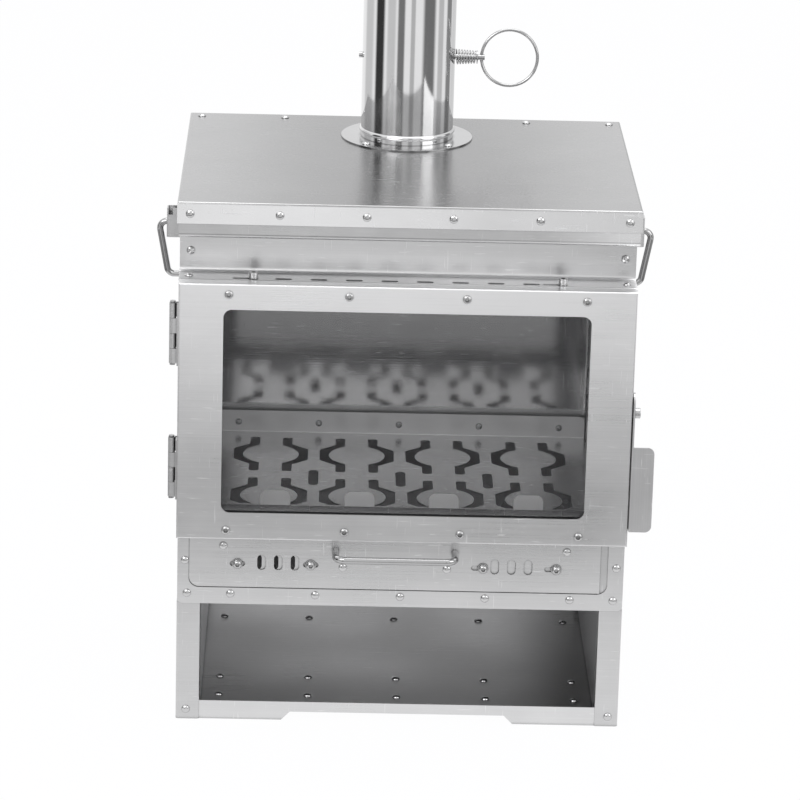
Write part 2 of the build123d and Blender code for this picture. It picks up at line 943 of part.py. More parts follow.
# Recess channel: air ledge, fascia, overhang and lip in one folded sheet
channel_sheet = folded_sheet(
    Plane.YZ,
    [
        (body_front, ledge_height),
        (fascia_face, ledge_height),
        (fascia_face, recess_top),
        (lip_face, recess_top),
        (lip_face, lip_top),
    ],
    recess_bend,
    2 * channel_half_width,
    Side.RIGHT,
)
vent_places = [
    (vent_row_x + (i - (vent_count - 1) / 2) * vent_pitch, vent_row_y) for i in range(vent_count)
]
slider_slot_places = [(s * slider_bolt_x - slider_bolt_travel / 2, vent_row_y) for s in (-1, 1)]
slider_slot_length = slider_bolt_travel + 2 * bolt_shank_radius + 2 * corner_gap
lid_front_seats = [
    front_seat(s * x, lid_top - lid_rivet_drop, lid_front) for x in lid_rivets_x for s in (-1, 1)
]
fascia_seats = [front_seat(s * fascia_rivet_x, fascia_rivet_height, fascia_face) for s in (-1, 1)]
ledge_seats = [top_seat(s * ledge_rivet_x, ledge_rivet_y, ledge_height) for s in (-1, 1)]
with BuildPart() as recess_channel:
    add(channel_sheet)
    ledge_edges = recess_channel.edges().filter_by(Axis.X).filter_by_position(
        Axis.Z, ledge_height - hole_clearance, ledge_height + hole_clearance
    )
    fillet(ledge_edges.sort_by(Axis.Y)[0], ledge_edge_radius)
    with BuildSketch(Plane.XY.offset(ledge_height)):
        with Locations(*vent_places):
            SlotOverall(vent_length, vent_width)
        with Locations(*slider_slot_places):
            SlotOverall(slider_slot_length, slider_slot_width)
    extrude(amount=-2 * sheet, mode=Mode.SUBTRACT)
    drill(lid_front_seats, shank_hole, through)
    drill(fascia_seats + ledge_seats, shank_hole, through)
save(recess_channel.part, "recess_channel")

recess_rivet_group = rivets(fascia_seats + ledge_seats, sheet)
with BuildPart() as recess_rivets:
    add(recess_rivet_group)
save(recess_rivets.part, "recess_rivets")

# Air slider under the ledge, drawn open
slider_bolt_seats = [
    top_seat(s * slider_bolt_x, vent_row_y, ledge_height + slide_gap) for s in (-1, 1)
]
with BuildPart() as air_slider:
    block(
        (-slider_half_length, inner_front + slide_gap, slider_top - sheet),
        (slider_half_length, inner_front + slide_gap + slider_depth, slider_top),
    )
    with BuildSketch(Plane.XY.offset(slider_top)):
        with Locations(*vent_places):
            SlotOverall(vent_length, vent_width + 2 * hole_clearance)
    extrude(amount=-2 * sheet, mode=Mode.SUBTRACT)
    drill(slider_bolt_seats, bolt_shank_radius + hole_clearance, through)
save(air_slider.part, "air_slider")

slider_grip = 2 * sheet + 2 * slide_gap
slider_bolt_group = bolts(
    slider_bolt_seats, slider_grip, cap_head_radius, cap_head_height, cap_rounding
)
with BuildPart() as air_slider_bolts:
    add(slider_bolt_group)
save(air_slider_bolts.part, "air_slider_bolts")

# Lid: top plate with a flange all round
flue_rivet_seats = [
    top_seat(
        flange_rivet_radius * math.cos(math.radians(angle)),
        flue_y + flange_rivet_radius * math.sin(math.radians(angle)),
        flange_top,
    )
    for angle in flange_rivet_angles
]
with BuildPart() as lid:
    block((-lid_half_width, lid_front, lid_top - lid_flange), (lid_half_width, lid_back, lid_top))
    fillet(lid.edges().group_by(Axis.Z)[-1], lid_edge_radius)
    offset(amount=-sheet, openings=lid.faces().sort_by(Axis.Z)[0])
    with Locations((0, flue_y, lid_top)):
        Cylinder(collar_radius - pipe_wall, 4 * sheet, mode=Mode.SUBTRACT)
    drill(lid_front_seats + back_rivets_seats, shank_hole, through)
    drill(flue_rivet_seats, shank_hole, through)
save(lid.part, "lid")

lid_rivet_group = rivets(lid_front_seats + back_rivets_seats, 2 * sheet)
with BuildPart() as lid_rivets:
    add(lid_rivet_group)
save(lid_rivets.part, "lid_rivets")

# Flue flange with its collar
collar_bore = collar_radius - pipe_wall
flange_solid = turned(
    [
        (collar_bore, lid_top),
        (flue_flange_radius, lid_top),
        (flue_flange_radius, flange_top),
        (collar_radius, flange_top),
        (collar_radius, flange_top + collar_height),
        (collar_bore, flange_top + collar_height),
    ]
)
with BuildPart() as flue_flange:
    with Locations((0, flue_y, 0)):
        add(flange_solid)
    drill(flue_rivet_seats, shank_hole, through)
save(flue_flange.part, "flue_flange")

flue_rivet_group = rivets(flue_rivet_seats, 2 * sheet)
with BuildPart() as flue_flange_rivets:
    add(flue_rivet_group)
save(flue_flange_rivets.part, "flue_flange_rivets")

# Flue pipe: one damper section, with a bead at its foot and a socket at its top
socket_bore = pipe_radius + socket_clearance
socket_radius = socket_bore + pipe_wall
socket_low = pipe_top - socket_length
with BuildPart() as flue_pipe:
    with BuildSketch(Plane.XZ.offset(-flue_y)):
        with BuildLine():
            Polyline(
                (pipe_radius, flange_top + bead_rise - bead_radius),
                (pipe_radius, flange_top),
                (pipe_bore, flange_top),
                (pipe_bore, socket_low),
                (socket_bore, socket_low),
                (socket_bore, pipe_top),
                (socket_radius, pipe_top),
                (socket_radius, socket_low - pipe_wall),
                (pipe_radius, socket_low - pipe_wall - socket_clearance),
                (pipe_radius, flange_top + bead_rise + bead_radius),
            )
            ThreePointArc(
                (pipe_radius, flange_top + bead_rise + bead_radius),
                (pipe_radius + bead_depth, flange_top + bead_rise),
                (pipe_radius, flange_top + bead_rise - bead_radius),
            )
        make_face()
    revolve(axis=Axis((0, flue_y, 0), (0, 0, 1)))
    with Locations(Plane(origin=(0, flue_y, damper_z), z_dir=(1, 0, 0))):
        Cylinder(damper_shaft_radius + pin_clearance, 3 * pipe_radius, mode=Mode.SUBTRACT)
save(flue_pipe.part, "flue_pipe")

# Damper: disc, shaft, spring and pull ring
disc_front = flue_y - damper_shaft_radius
with BuildPart() as damper_disc:
    with BuildSketch(Plane.XZ.offset(-disc_front)):
        with Locations((0, damper_z)):
            Circle(damper_disc_radius)
    extrude(amount=damper_disc_thickness)
save(damper_disc.part, "damper_disc")

ring_x = damper_shaft_right - 2 * ring_wire_radius
with BuildPart() as damper_shaft:
    with BuildSketch(Plane.YZ.offset(-damper_shaft_left)):
        with Locations((flue_y, damper_z)):
            Circle(damper_shaft_radius)
    extrude(amount=damper_shaft_left + damper_shaft_right)
    with BuildSketch(Plane.YZ.offset(pipe_radius + spring_length + 2 * slide_gap)):
        with Locations((flue_y, damper_z)):
            Circle(spring_small_radius + spring_wire_radius)
    extrude(amount=pipe_wall)
    with Locations((ring_x, flue_y, damper_z)):
        Cylinder(ring_wire_radius + 2 * hole_clearance, 3 * damper_shaft_radius, mode=Mode.SUBTRACT)
save(damper_shaft.part, "damper_shaft")

with BuildPart() as damper_ring:
    ring_centre = (ring_x + ring_radius, flue_y, damper_z)
    ring_plane = Plane(origin=ring_centre, z_dir=(0, -1, 0)).rotated((-ring_tilt, 0, 0))
    with Locations(ring_plane):
        Torus(ring_radius, ring_wire_radius)
save(damper_ring.part, "damper_ring")


def spring_point(turn):
    """Place on the spring's wire after a number of turns from the pipe."""
    share = turn / spring_turns
    radius = spring_large_radius + (spring_small_radius - spring_large_radius) * share
    angle = 2 * math.pi * turn
    reach = pipe_radius + slide_gap + spring_wire_radius
    climb = spring_length - 2 * spring_wire_radius
    return Vector(
        reach + climb * share,
        flue_y + radius * math.sin(angle),
        damper_z + radius * math.cos(angle),
    )


def spring_direction(turn):
    """Direction of the spring's wire after a number of turns."""
    step = 1e-4
    return (spring_point(turn + step) - spring_point(turn - step)).normalized()


def biarc(start, start_direction, end, end_direction):
    """Two arcs that leave the start and reach the end in the given directions."""
    chord = end - start
    both = start_direction + end_direction
    spread = 2 * (1 - start_direction.dot(end_direction))
    along = chord.dot(both)
    reach = (math.sqrt(along * along + spread * chord.dot(chord)) - along) / spread
    first = start + start_direction * reach
    last = end - end_direction * reach
    middle = (first + last) * 0.5
    return [
        Edge.make_tangent_arc(start, start_direction, middle),
        Edge.make_tangent_arc(middle, (last - first).normalized(), end),
    ]


arcs_per_turn = 4
arc_turns = [i / arcs_per_turn for i in range(arcs_per_turn * spring_turns + 1)]
spring_edges = []
for start_turn, end_turn in zip(arc_turns, arc_turns[1:]):
    spring_edges += biarc(
        spring_point(start_turn),
        spring_direction(start_turn),
        spring_point(end_turn),
        spring_direction(end_turn),
    )
spring_wire = Wire(spring_edges)
with BuildPart() as damper_spring:
    with BuildSketch(Plane(origin=spring_point(0), z_dir=spring_direction(0))):
        Circle(spring_wire_radius)
    sweep(path=spring_wire)
save(damper_spring.part, "damper_spring")

samples_per_turn = 48
spring_samples = [
    spring_wire @ (i / (samples_per_turn * spring_turns))
    for i in range(samples_per_turn * spring_turns + 1)
]
least_gap = min(
    (spring_samples[i] - spring_samples[j]).length - 2 * spring_wire_radius
    for i in range(len(spring_samples))
    for j in range(i + samples_per_turn // 2, len(spring_samples))
)
print("spring least gap to itself", round(least_gap, 2), "mm")

# Side handles: bent wire held in a folded bracket
for side, name in ((-1, "left"), (1, "right")):
    wall = side * body_half_width
    turn_side = Side.RIGHT if side < 0 else Side.LEFT
    bracket_points = [
        (wall + side * sheet, handle_y - bracket_half_depth - bracket_tab),
        (wall + side * sheet, handle_y - bracket_half_depth),
        (wall + side * bracket_reach, handle_y - bracket_half_depth),
        (wall + side * bracket_reach, handle_y + bracket_half_depth),
        (wall + side * sheet, handle_y + bracket_half_depth),
        (wall + side * sheet, handle_y + bracket_half_depth + bracket_tab),
    ]
    bracket_height = bracket_high - bracket_low
    bracket_sheet = folded_sheet(
        Plane.XY.offset(bracket_low + bracket_height / 2),
        bracket_points,
        bracket_bend,
        bracket_height,
        turn_side,
    )
    slot_outer = wall + side * (bracket_reach - bracket_slot_inset)
    slot_inner = slot_outer - side * bracket_slot_width
    wire_seat = side_seat(wall + side * bracket_reach, handle_y, handle_top)
    with BuildPart() as handle_bracket:
        add(bracket_sheet)
        block(
            (
                min(slot_outer, slot_inner),
                handle_y - bracket_half_depth - sheet,
                bracket_high - bracket_slot_height,
            ),
            (max(slot_outer, slot_inner), handle_y, bracket_high + sheet),
            Mode.SUBTRACT,
        )
        drill([wire_seat], handle_wire_radius + hole_clearance, through)
        drill(bracket_seats, shank_hole, through)
    save(handle_bracket.part, f"{name}_handle_bracket")
    side_handle = bent_wire(
        [
            (wall + side * handle_end_reach, handle_y, handle_top),
            (wall + side * handle_top_reach, handle_y, handle_top),
            (wall + side * handle_bottom_reach, handle_y, handle_bottom),
            (wall, handle_y, handle_bottom),
        ],
        handle_bend,
        handle_wire_radius,
    )
    save(side_handle, f"{name}_side_handle")

bracket_rivet_group = rivets(bracket_seats, 2 * sheet)
with BuildPart() as handle_bracket_rivets:
    add(bracket_rivet_group)
save(handle_bracket_rivets.part, "handle_bracket_rivets")

# Door frame: a shallow pan with a window
door_screw_seats = [
    front_seat(s * x, z, door_front)
    for z in (door_screw_high, door_screw_low)
    for x in door_screws_x
    for s in (-1, 1)
]
latch_seat = side_seat(latch_x + latch_plate, latch_y, latch_z)
with BuildPart() as door_frame:
    block((-door_half_width, door_front, door_low), (door_half_width, door_back, door_high))
    fillet(door_frame.edges().group_by(Axis.Y)[0], door_edge_radius)
    offset(amount=-door_plate, openings=door_frame.faces().sort_by(Axis.Y)[-1])
    with BuildSketch(Plane.XZ.offset(-plate_back)):
        with Locations((0, (window_low + window_high) / 2)):
            RectangleRounded(2 * window_half_width, window_high - window_low, window_corner)
    extrude(amount=2 * door_plate, both=True, mode=Mode.SUBTRACT)
    drill(door_screw_seats, screw_shank_radius + hole_clearance, 3 * door_plate)
    drill([latch_seat], latch_bolt_radius + hole_clearance, 5 * door_plate)
save(door_frame.part, "door_frame")

# Glass, its gasket and the strips that hold it
with BuildPart() as door_glass:
    block(
        (-glass_half_width, glass_front, glass_low),
        (glass_half_width, glass_back, glass_high),
    )
save(door_glass.part, "door_glass")

with BuildPart() as glass_gasket:
    block(
        (-glass_half_width, plate_back, glass_low),
        (glass_half_width, glass_front, glass_high),
    )
    block(
        (-glass_half_width + gasket_width, plate_back, glass_low + gasket_width),
        (glass_half_width - gasket_width, glass_front, glass_high - gasket_width),
        Mode.SUBTRACT,
    )
save(glass_gasket.part, "glass_gasket")

with BuildPart() as glass_retainers:
    for edge, away in ((glass_high, 1), (glass_low, -1)):
        near = edge + away * glass_side_gap
        for start, end, front, back in (
            (near, near + away * retainer_foot, plate_back, plate_back + sheet),
            (near, near + away * sheet, plate_back, glass_back + sheet),
            (near + away * sheet, near - away * retainer_lip, glass_back, glass_back + sheet),
        ):
            block(
                (-retainer_half_length, front, min(start, end)),
                (retainer_half_length, back, max(start, end)),
            )
    drill(door_screw_seats, screw_shank_radius + hole_clearance, 3 * door_plate)
save(glass_retainers.part, "glass_retainers")

door_screw_group = bolts(
    door_screw_seats,
    door_plate + sheet,
    screw_head_radius,
    screw_head_height,
    button_rounding,
    shank=screw_shank_radius,
)
with BuildPart() as door_screws:
    add(door_screw_group)
save(door_screws.part, "door_screws")

# Hinges: leaves on the body and on the door, with the pins between them
knuckle_length = hinge_length / knuckle_count


def hinge_leaf(centre, toward, reach, wall, first):
    """Leaf with every second knuckle, from the barrel towards the front or the back."""
    low = centre - hinge_length / 2
    leaf_x = wall - leaf_sheet
    web_near = hinge_y + toward * (barrel_radius - leaf_sheet)
    web_far = hinge_y + toward * barrel_radius
    with BuildPart() as leaf:
        block(
            (leaf_x, min(web_near, hinge_y + toward * reach), low),
            (wall, max(web_near, hinge_y + toward * reach), low + hinge_length),
        )
        for i in range(first, knuckle_count, 2):
            knuckle_low = low + i * knuckle_length + knuckle_gap / 2
            knuckle_high = low + (i + 1) * knuckle_length - knuckle_gap / 2
            with Locations((hinge_x, hinge_y, (knuckle_low + knuckle_high) / 2)):
                Cylinder(barrel_radius, knuckle_high - knuckle_low)
            block(
                (hinge_x, min(web_near, web_far), knuckle_low),
                (wall - leaf_sheet / 2, max(web_near, web_far), knuckle_high),
            )
        with Locations((hinge_x, hinge_y, centre)):
            Cylinder(hinge_pin_radius + pin_clearance, 2 * hinge_length, mode=Mode.SUBTRACT)
    return leaf.part


body_leaves = [hinge_leaf(centre, 1, leaf_length, -body_half_width, 1) for centre in hinge_centres]
door_leaves = [hinge_leaf(centre, -1, door_leaf_length, -door_half_width, 0) for centre in hinge_centres]
with BuildPart() as hinge_body_leaves:
    for leaf_solid in body_leaves:
        add(leaf_solid)
    drill(hinge_leaf_seats, shank_hole, through)
save(hinge_body_leaves.part, "hinge_body_leaves")

with BuildPart() as hinge_door_leaves:
    for leaf_solid in door_leaves:
        add(leaf_solid)
save(hinge_door_leaves.part, "hinge_door_leaves")

with BuildPart() as hinge_pins:
    for centre in hinge_centres:
        with Locations((hinge_x, hinge_y, centre)):
            Cylinder(hinge_pin_radius, hinge_length)
        for s in (-1, 1):
            head_z = centre + s * (hinge_length / 2 + knuckle_gap + leaf_sheet / 2)
            with Locations((hinge_x, hinge_y, head_z)):
                Cylinder(pin_head_radius, leaf_sheet)
            with Locations((hinge_x, hinge_y, centre + s * (hinge_length / 2 + knuckle_gap / 2))):
                Cylinder(hinge_pin_radius, 2 * knuckle_gap)
save(hinge_pins.part, "hinge_pins")

leaf_rivet_group = rivets(hinge_leaf_seats, leaf_sheet + sheet, leaf_rivet_radius)
with BuildPart() as hinge_rivets:
    add(leaf_rivet_group)
save(hinge_rivets.part, "hinge_rivets")

# Latch: lever on the door's side, its pivot bolt, and the stud on the body
tab_front = latch_y - latch_half_width
latch_round = latch_top - latch_half_width
with BuildPart() as latch_lever:
    with BuildSketch(Plane.YZ.offset(latch_x)):
        with Locations((latch_y, (latch_round + latch_tab_low) / 2)):
            Rectangle(2 * latch_half_width, latch_round - latch_tab_low)
        with Locations((latch_y, latch_round)):
            Circle(latch_half_width)
        with BuildLine():
            Polyline(
                (latch_y, latch_z - latch_arm_drop),
                (latch_y + latch_tip_start, latch_z - latch_arm_drop),
                (latch_y + latch_tip_start, latch_z - latch_tip_drop),
                (latch_y + latch_tip_end, latch_z - latch_tip_drop),
                (latch_y + latch_tip_end, latch_z - latch_arm_drop - latch_arm_width / 2),
                (latch_y + latch_tip_start, latch_z - latch_arm_drop - latch_arm_width),
                (latch_y, latch_z - latch_arm_drop - 2 * latch_arm_width),
                close=True,
            )
        make_face()
    extrude(amount=latch_plate)
    with BuildSketch(Plane.XZ.offset(-tab_front - latch_plate)) as tab_outline:
        tab_right = latch_x + latch_tab_width + latch_plate
        with Locations(((latch_x + tab_right) / 2, (latch_tab_low + latch_tab_high) / 2)):
            Rectangle(tab_right - latch_x, latch_tab_high - latch_tab_low)
        fillet(tab_outline.vertices().group_by(Axis.X)[-1], latch_tab_corner)
    extrude(amount=latch_plate)
    drill([latch_seat], latch_bolt_radius + pin_clearance, 2 * latch_plate)
save(latch_lever.part, "latch_lever")

latch_bolt_seat = side_seat(latch_x + latch_plate + slide_gap, latch_y, latch_z)
latch_bolt_group = bolts(
    [latch_bolt_seat],
    latch_plate + slide_gap + latch_gap + door_plate,
    latch_head_radius,
    latch_head_height,
    cap_rounding,
    shank=latch_bolt_radius,
)
with BuildPart() as latch_pivot_bolt:
    add(latch_bolt_group)
save(latch_pivot_bolt.part, "latch_pivot_bolt")

with BuildPart() as latch_stud:
    with BuildSketch(Plane.YZ.offset(body_half_width)):
        with Locations((stud_y, stud_z)):
            Circle(stud_radius)
    extrude(amount=stud_length)
    fillet(latch_stud.edges().group_by(Axis.X)[-1], stud_rounding)
save(latch_stud.part, "latch_stud")

# Ash drawer: front plate, tray, handle and rivets
front_left = drawer_shift - drawer_front_half_width
front_right = drawer_shift + drawer_front_half_width
draught_shifts = [(i - (draught_count - 1) / 2) * draught_pitch for i in range(draught_count)]
draught_places = [
    (drawer_shift + s * draught_x + shift, draught_z) for s in (-1, 1) for shift in draught_shifts
]
shutter_slot_places = [
    (drawer_shift + s * shutter_slot_x + t * shutter_bolt_x, shutter_bolt_z)
    for s in (-1, 1)
    for t in (-1, 1)
]
drawer_rivet_seats = [
    front_seat(drawer_shift + s * x, z, drawer_face)
    for x, z in (
        (drawer_rivet_outer, drawer_front_high - drawer_rivet_drop),
        (drawer_rivet_inner, drawer_front_low + drawer_rivet_rise),
    )
    for s in (-1, 1)
]
with BuildPart() as drawer_front:
    with BuildSketch(Plane.XZ.offset(-drawer_back)) as front_outline:
        with Locations(((front_left + front_right) / 2, (drawer_front_low + drawer_front_high) / 2)):
            Rectangle(front_right - front_left, drawer_front_high - drawer_front_low)
        fillet(
            front_outline.vertices().group_by(Axis.Y)[0].sort_by(Axis.X)[0], drawer_mouth_corner
        )
        with Locations(*draught_places):
            SlotOverall(draught_height, draught_width, rotation=90, mode=Mode.SUBTRACT)
        with Locations(*shutter_slot_places):
            SlotOverall(shutter_slot_length, shutter_slot_width, mode=Mode.SUBTRACT)
    extrude(amount=sheet)
    drill(drawer_rivet_seats, shank_hole, through)
save(drawer_front.part, "drawer_front")

window_half_height = shutter_half_height + corner_gap
with BuildPart() as ash_tray:
    block(
        (drawer_shift - tray_half_width, drawer_back, tray_low),
        (drawer_shift + tray_half_width, tray_back, tray_high),
    )
    offset(amount=-tray_wall, openings=ash_tray.faces().sort_by(Axis.Z)[-1])
    for s in (-1, 1):
        middle = drawer_shift + s * shutter_slot_x
        block(
            (middle - shutter_window, drawer_back - sheet, shutter_bolt_z - window_half_height),
            (middle + shutter_window, drawer_back + 2 * tray_wall, shutter_bolt_z + window_half_height),
            Mode.SUBTRACT,
        )
    drill(drawer_rivet_seats, shank_hole, through)
save(ash_tray.part, "ash_tray")

drawer_rivet_group = rivets(drawer_rivet_seats, sheet + tray_wall)
with BuildPart() as drawer_rivets:
    add(drawer_rivet_group)
save(drawer_rivets.part, "drawer_rivets")

grip_y = drawer_face - drawer_handle_reach
handle_left = drawer_shift - drawer_handle_half_width
handle_right = drawer_shift + drawer_handle_half_width
drawer_handle = bent_wire(
    [
        (handle_left, drawer_face, drawer_handle_height),
        (handle_left, grip_y, drawer_handle_height),
        (handle_right, grip_y, drawer_handle_height),
        (handle_right, drawer_face, drawer_handle_height),
    ],
    drawer_handle_bend,
    drawer_handle_radius,
)
save(drawer_handle, "drawer_handle")

# Draught shutters: the left one is half open and the right one is shut
shutter_front = drawer_back + slide_gap
for side, name, place in (
    (-1, "left", left_shutter_offset),
    (1, "right", right_shutter_offset),
):
    middle = drawer_shift + side * shutter_slot_x + place
    shutter_seats = [
        front_seat(middle + t * shutter_bolt_x, shutter_bolt_z, drawer_face - slide_gap) for t in (-1, 1)
    ]
    with BuildPart() as shutter:
        block(
            (middle - shutter_half_length, shutter_front, shutter_bolt_z - shutter_half_height),
            (
                middle + shutter_half_length,
                shutter_front + shutter_plate,
                shutter_bolt_z + shutter_half_height,
            ),
        )
        with BuildSketch(Plane.XZ.offset(-shutter_front)):
            with Locations(*[(middle + shift, draught_z) for shift in draught_shifts]):
                SlotOverall(draught_height, draught_width, rotation=90)
        extrude(amount=3 * shutter_plate, both=True, mode=Mode.SUBTRACT)
        drill(shutter_seats, bolt_shank_radius + hole_clearance, through)
    save(shutter.part, f"{name}_shutter")
    shutter_bolt_group = bolts(
        shutter_seats,
        2 * slide_gap + sheet + shutter_plate,
        bolt_head_radius,
        bolt_head_height,
        button_rounding,
        washer=True,
    )
    save(shutter_bolt_group, f"{name}_shutter_bolts")
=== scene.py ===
"""Dresses the camping wood stove: steel finishes, glass, rivets, and the room it is shown in."""

import math

import bpy
from bpy.props import FloatProperty, FloatVectorProperty, PointerProperty
from mathutils import Matrix, Vector


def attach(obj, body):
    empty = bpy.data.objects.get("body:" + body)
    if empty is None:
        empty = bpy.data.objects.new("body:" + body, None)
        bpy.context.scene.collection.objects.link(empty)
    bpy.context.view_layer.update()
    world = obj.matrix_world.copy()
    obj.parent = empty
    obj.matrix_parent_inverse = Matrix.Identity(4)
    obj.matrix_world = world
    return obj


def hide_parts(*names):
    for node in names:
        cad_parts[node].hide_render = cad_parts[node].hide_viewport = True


bl_info = {
    "name": "Camping wood stove",
    "version": (1, 0, 0),
    "blender": (4, 5, 0),
    "location": "3D View > Sidebar > Stove",
    "description": "Finishes and fittings of a folded sheet camping stove",
    "category": "Add Mesh",
}

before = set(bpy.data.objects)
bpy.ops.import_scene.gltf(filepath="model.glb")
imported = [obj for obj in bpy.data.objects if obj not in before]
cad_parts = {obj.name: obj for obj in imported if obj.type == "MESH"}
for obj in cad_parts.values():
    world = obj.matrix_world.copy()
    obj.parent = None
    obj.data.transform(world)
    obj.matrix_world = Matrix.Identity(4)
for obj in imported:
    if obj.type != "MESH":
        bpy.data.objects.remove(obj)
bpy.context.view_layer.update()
mm = 0.001


# Settings


class SteelSettings(bpy.types.PropertyGroup):
    """Tones and gloss of the stove's steel."""

    outer_tone: FloatProperty(
        name="Outer tone", description="Reflectance of the outer sheets", default=0.69, min=0, max=1
    )
    inner_tone: FloatProperty(
        name="Inner tone", description="Reflectance of the firebox and the wood store",
        default=0.63, min=0, max=1,
    )
    polished_tone: FloatProperty(
        name="Polished tone", description="Reflectance of the flue pipe and the bent wires",
        default=0.74, min=0, max=1,
    )
    sheet_roughness: FloatProperty(
        name="Sheet roughness", description="Roughness of the brushed sheets", default=0.3,
        min=0, max=1,
    )
    polished_roughness: FloatProperty(
        name="Polished roughness", description="Roughness of the flue pipe", default=0.07,
        min=0, max=1,
    )


class GlassSettings(bpy.types.PropertyGroup):
    """The window and its gasket."""

    tint: FloatVectorProperty(
        name="Tint", description="Colour of the film on the glass", subtype="COLOR", size=4,
        default=(0.09, 0.09, 0.095, 1), min=0, max=1,
    )
    film: FloatProperty(
        name="Film", description="How much of the inside the glass hides", default=0.13,
        min=0, max=1,
    )
    gasket: FloatVectorProperty(
        name="Gasket", description="Colour of the woven gasket", subtype="COLOR", size=4,
        default=(0.09, 0.09, 0.09, 1), min=0, max=1,
    )


class FastenerSettings(bpy.types.PropertyGroup):
    """Sizes of the dome-headed rivets."""

    head_radius: FloatProperty(
        name="Head radius", description="Radius of a rivet's head", default=3.5 * mm, unit="LENGTH"
    )
    head_height: FloatProperty(
        name="Head height", description="Height of a rivet's head", default=2.2 * mm, unit="LENGTH"
    )
    shank_radius: FloatProperty(
        name="Shank radius", description="Radius of a rivet's shank", default=1.6 * mm,
        unit="LENGTH",
    )
    length: FloatProperty(
        name="Length", description="Length of a rivet under its head", default=3.2 * mm,
        unit="LENGTH",
    )
    leaf_head_radius: FloatProperty(
        name="Leaf head radius", description="Radius of a hinge rivet's head", default=2.3 * mm,
        unit="LENGTH",
    )


class StudioSettings(bpy.types.PropertyGroup):
    """Camera, floor and light."""

    lens: FloatProperty(
        name="Lens", description="Focal length in millimetres", default=188.24, min=1
    )
    place: FloatVectorProperty(
        name="Camera place", description="Where the camera stands", subtype="TRANSLATION",
        default=(-0.0731, -3.4432, 1.3286),
    )
    turn: FloatProperty(
        name="Turn", description="How far the camera looks to the right", subtype="ANGLE",
        default=math.radians(1.19),
    )
    dip: FloatProperty(
        name="Dip", description="How far the camera looks down", subtype="ANGLE",
        default=math.radians(17.46),
    )
    roll: FloatProperty(
        name="Roll", description="How far the camera is rolled", subtype="ANGLE",
        default=math.radians(1.533),
    )
    ambient: FloatProperty(
        name="Ambient", description="Strength of the light from all round", default=0.75, min=0
    )
    key: FloatProperty(
        name="Key light", description="Power of the large lamp at the front left", default=32,
        min=0, unit="POWER",
    )
    fill: FloatProperty(
        name="Fill light", description="Power of the lamp at the front right", default=16, min=0,
        unit="POWER",
    )
    top: FloatProperty(
        name="Top light", description="Power of the lamp over the stove", default=22, min=0,
        unit="POWER",
    )


# Node helpers

# How the painted shade in gaps is measured: ambient occlusion samples, and the levels that count as
# shut and as clear
OPENNESS_SAMPLES = 6
OPENNESS_SHUT = 0.25
OPENNESS_CLEAR = 0.85


class Tone:
    """Output of a node, which takes part in sums."""

    def __init__(self, board, socket):
        self.board = board
        self.socket = socket

    def math(self, operation, *values):
        settings = {"operation": operation}
        return self.board.node("ShaderNodeMath", settings, dict(enumerate(values)))[0]

    def __add__(self, other):
        return self.math("ADD", self, other)

    def __sub__(self, other):
        return self.math("SUBTRACT", self, other)

    def __rsub__(self, other):
        return self.math("SUBTRACT", other, self)

    def __mul__(self, other):
        return self.math("MULTIPLY", self, other)

    def __truediv__(self, other):
        return self.math("DIVIDE", self, other)

    __radd__ = __add__
    __rmul__ = __mul__

    def larger(self, other):
        return self.math("MAXIMUM", self, other)

    def smaller(self, other):
        return self.math("MINIMUM", self, other)

    def size(self):
        return self.math("ABSOLUTE", self)

    def ease(self, low, high, start=0.0, end=1.0):
        """Smooth change from start to end while the value goes from low to high."""
        sockets = {"Value": self, "From Min": low, "From Max": high, "To Min": start, "To Max": end}
        return self.board.node(
            "ShaderNodeMapRange", {"interpolation_type": "SMOOTHSTEP"}, sockets
        )["Result"]


class Made:
    """A placed node, whose outputs are reached by name or by number."""

    def __init__(self, board, node):
        self.board = board
        self.node = node

    def __getitem__(self, key):
        return Tone(self.board, self.node.outputs[key])


class Board:
    """A node tree that is filled from Python."""

    def __init__(self, tree):
        self.tree = tree

    def node(self, kind, settings=None, sockets=None):
        """Place a node, apply its settings, then fill its sockets."""
        node = self.tree.nodes.new(kind)
        for key, value in (settings or {}).items():
            setattr(node, key, value)
        for key, value in (sockets or {}).items():
            if isinstance(value, Tone):
                self.tree.links.new(value.socket, node.inputs[key])
            else:
                node.inputs[key].default_value = value
        return Made(self, node)

    def place(self):
        """Object coordinates."""
        return self.node("ShaderNodeTexCoord")["Object"]

    def stretched(self, scale, turn=(0, 0, 0)):
        """Object coordinates, turned and scaled."""
        return self.node(
            "ShaderNodeMapping", {}, {"Vector": self.place(), "Rotation": turn, "Scale": scale}
        )["Vector"]

    def noise(self, scale, turn=(0, 0, 0), detail=2.0, rough=0.55):
        """Soft noise at a scale of its own along each axis, from 0 to 1."""
        sockets = {
            "Vector": self.stretched(scale, turn),
            "Scale": 1.0,
            "Detail": detail,
            "Roughness": rough,
        }
        return self.node("ShaderNodeTexNoise", {}, sockets)["Fac"]

    def axis(self, vector, key):
        """One coordinate of a vector."""
        return self.node("ShaderNodeSeparateXYZ", {}, {"Vector": vector})[key]

    def painted_gap_shade(self, distance, least):
        """Painted shade in gaps: 1 on open faces, falling to the least value where another face
        lies close by.
        """
        around = self.node(
            "ShaderNodeAmbientOcclusion", {"samples": OPENNESS_SAMPLES}, {"Distance": distance}
        )["AO"]
        return around.ease(OPENNESS_SHUT, OPENNESS_CLEAR, least, 1.0)


def new_material(name):
    """Empty material with its board and its Principled shader."""
    material = bpy.data.materials.new(name)
    material.use_nodes = True
    material.node_tree.nodes.clear()
    return material, Board(material.node_tree)


def finish_material(board, sockets):
    """Principled shader on the material's output."""
    shader = board.node("ShaderNodeBsdfPrincipled", {}, sockets)["BSDF"]
    board.node("ShaderNodeOutputMaterial", {}, {"Surface": shader})


def grey(value):
    """Neutral colour, a little cool."""
    return (value, value, value * COOLNESS, 1)


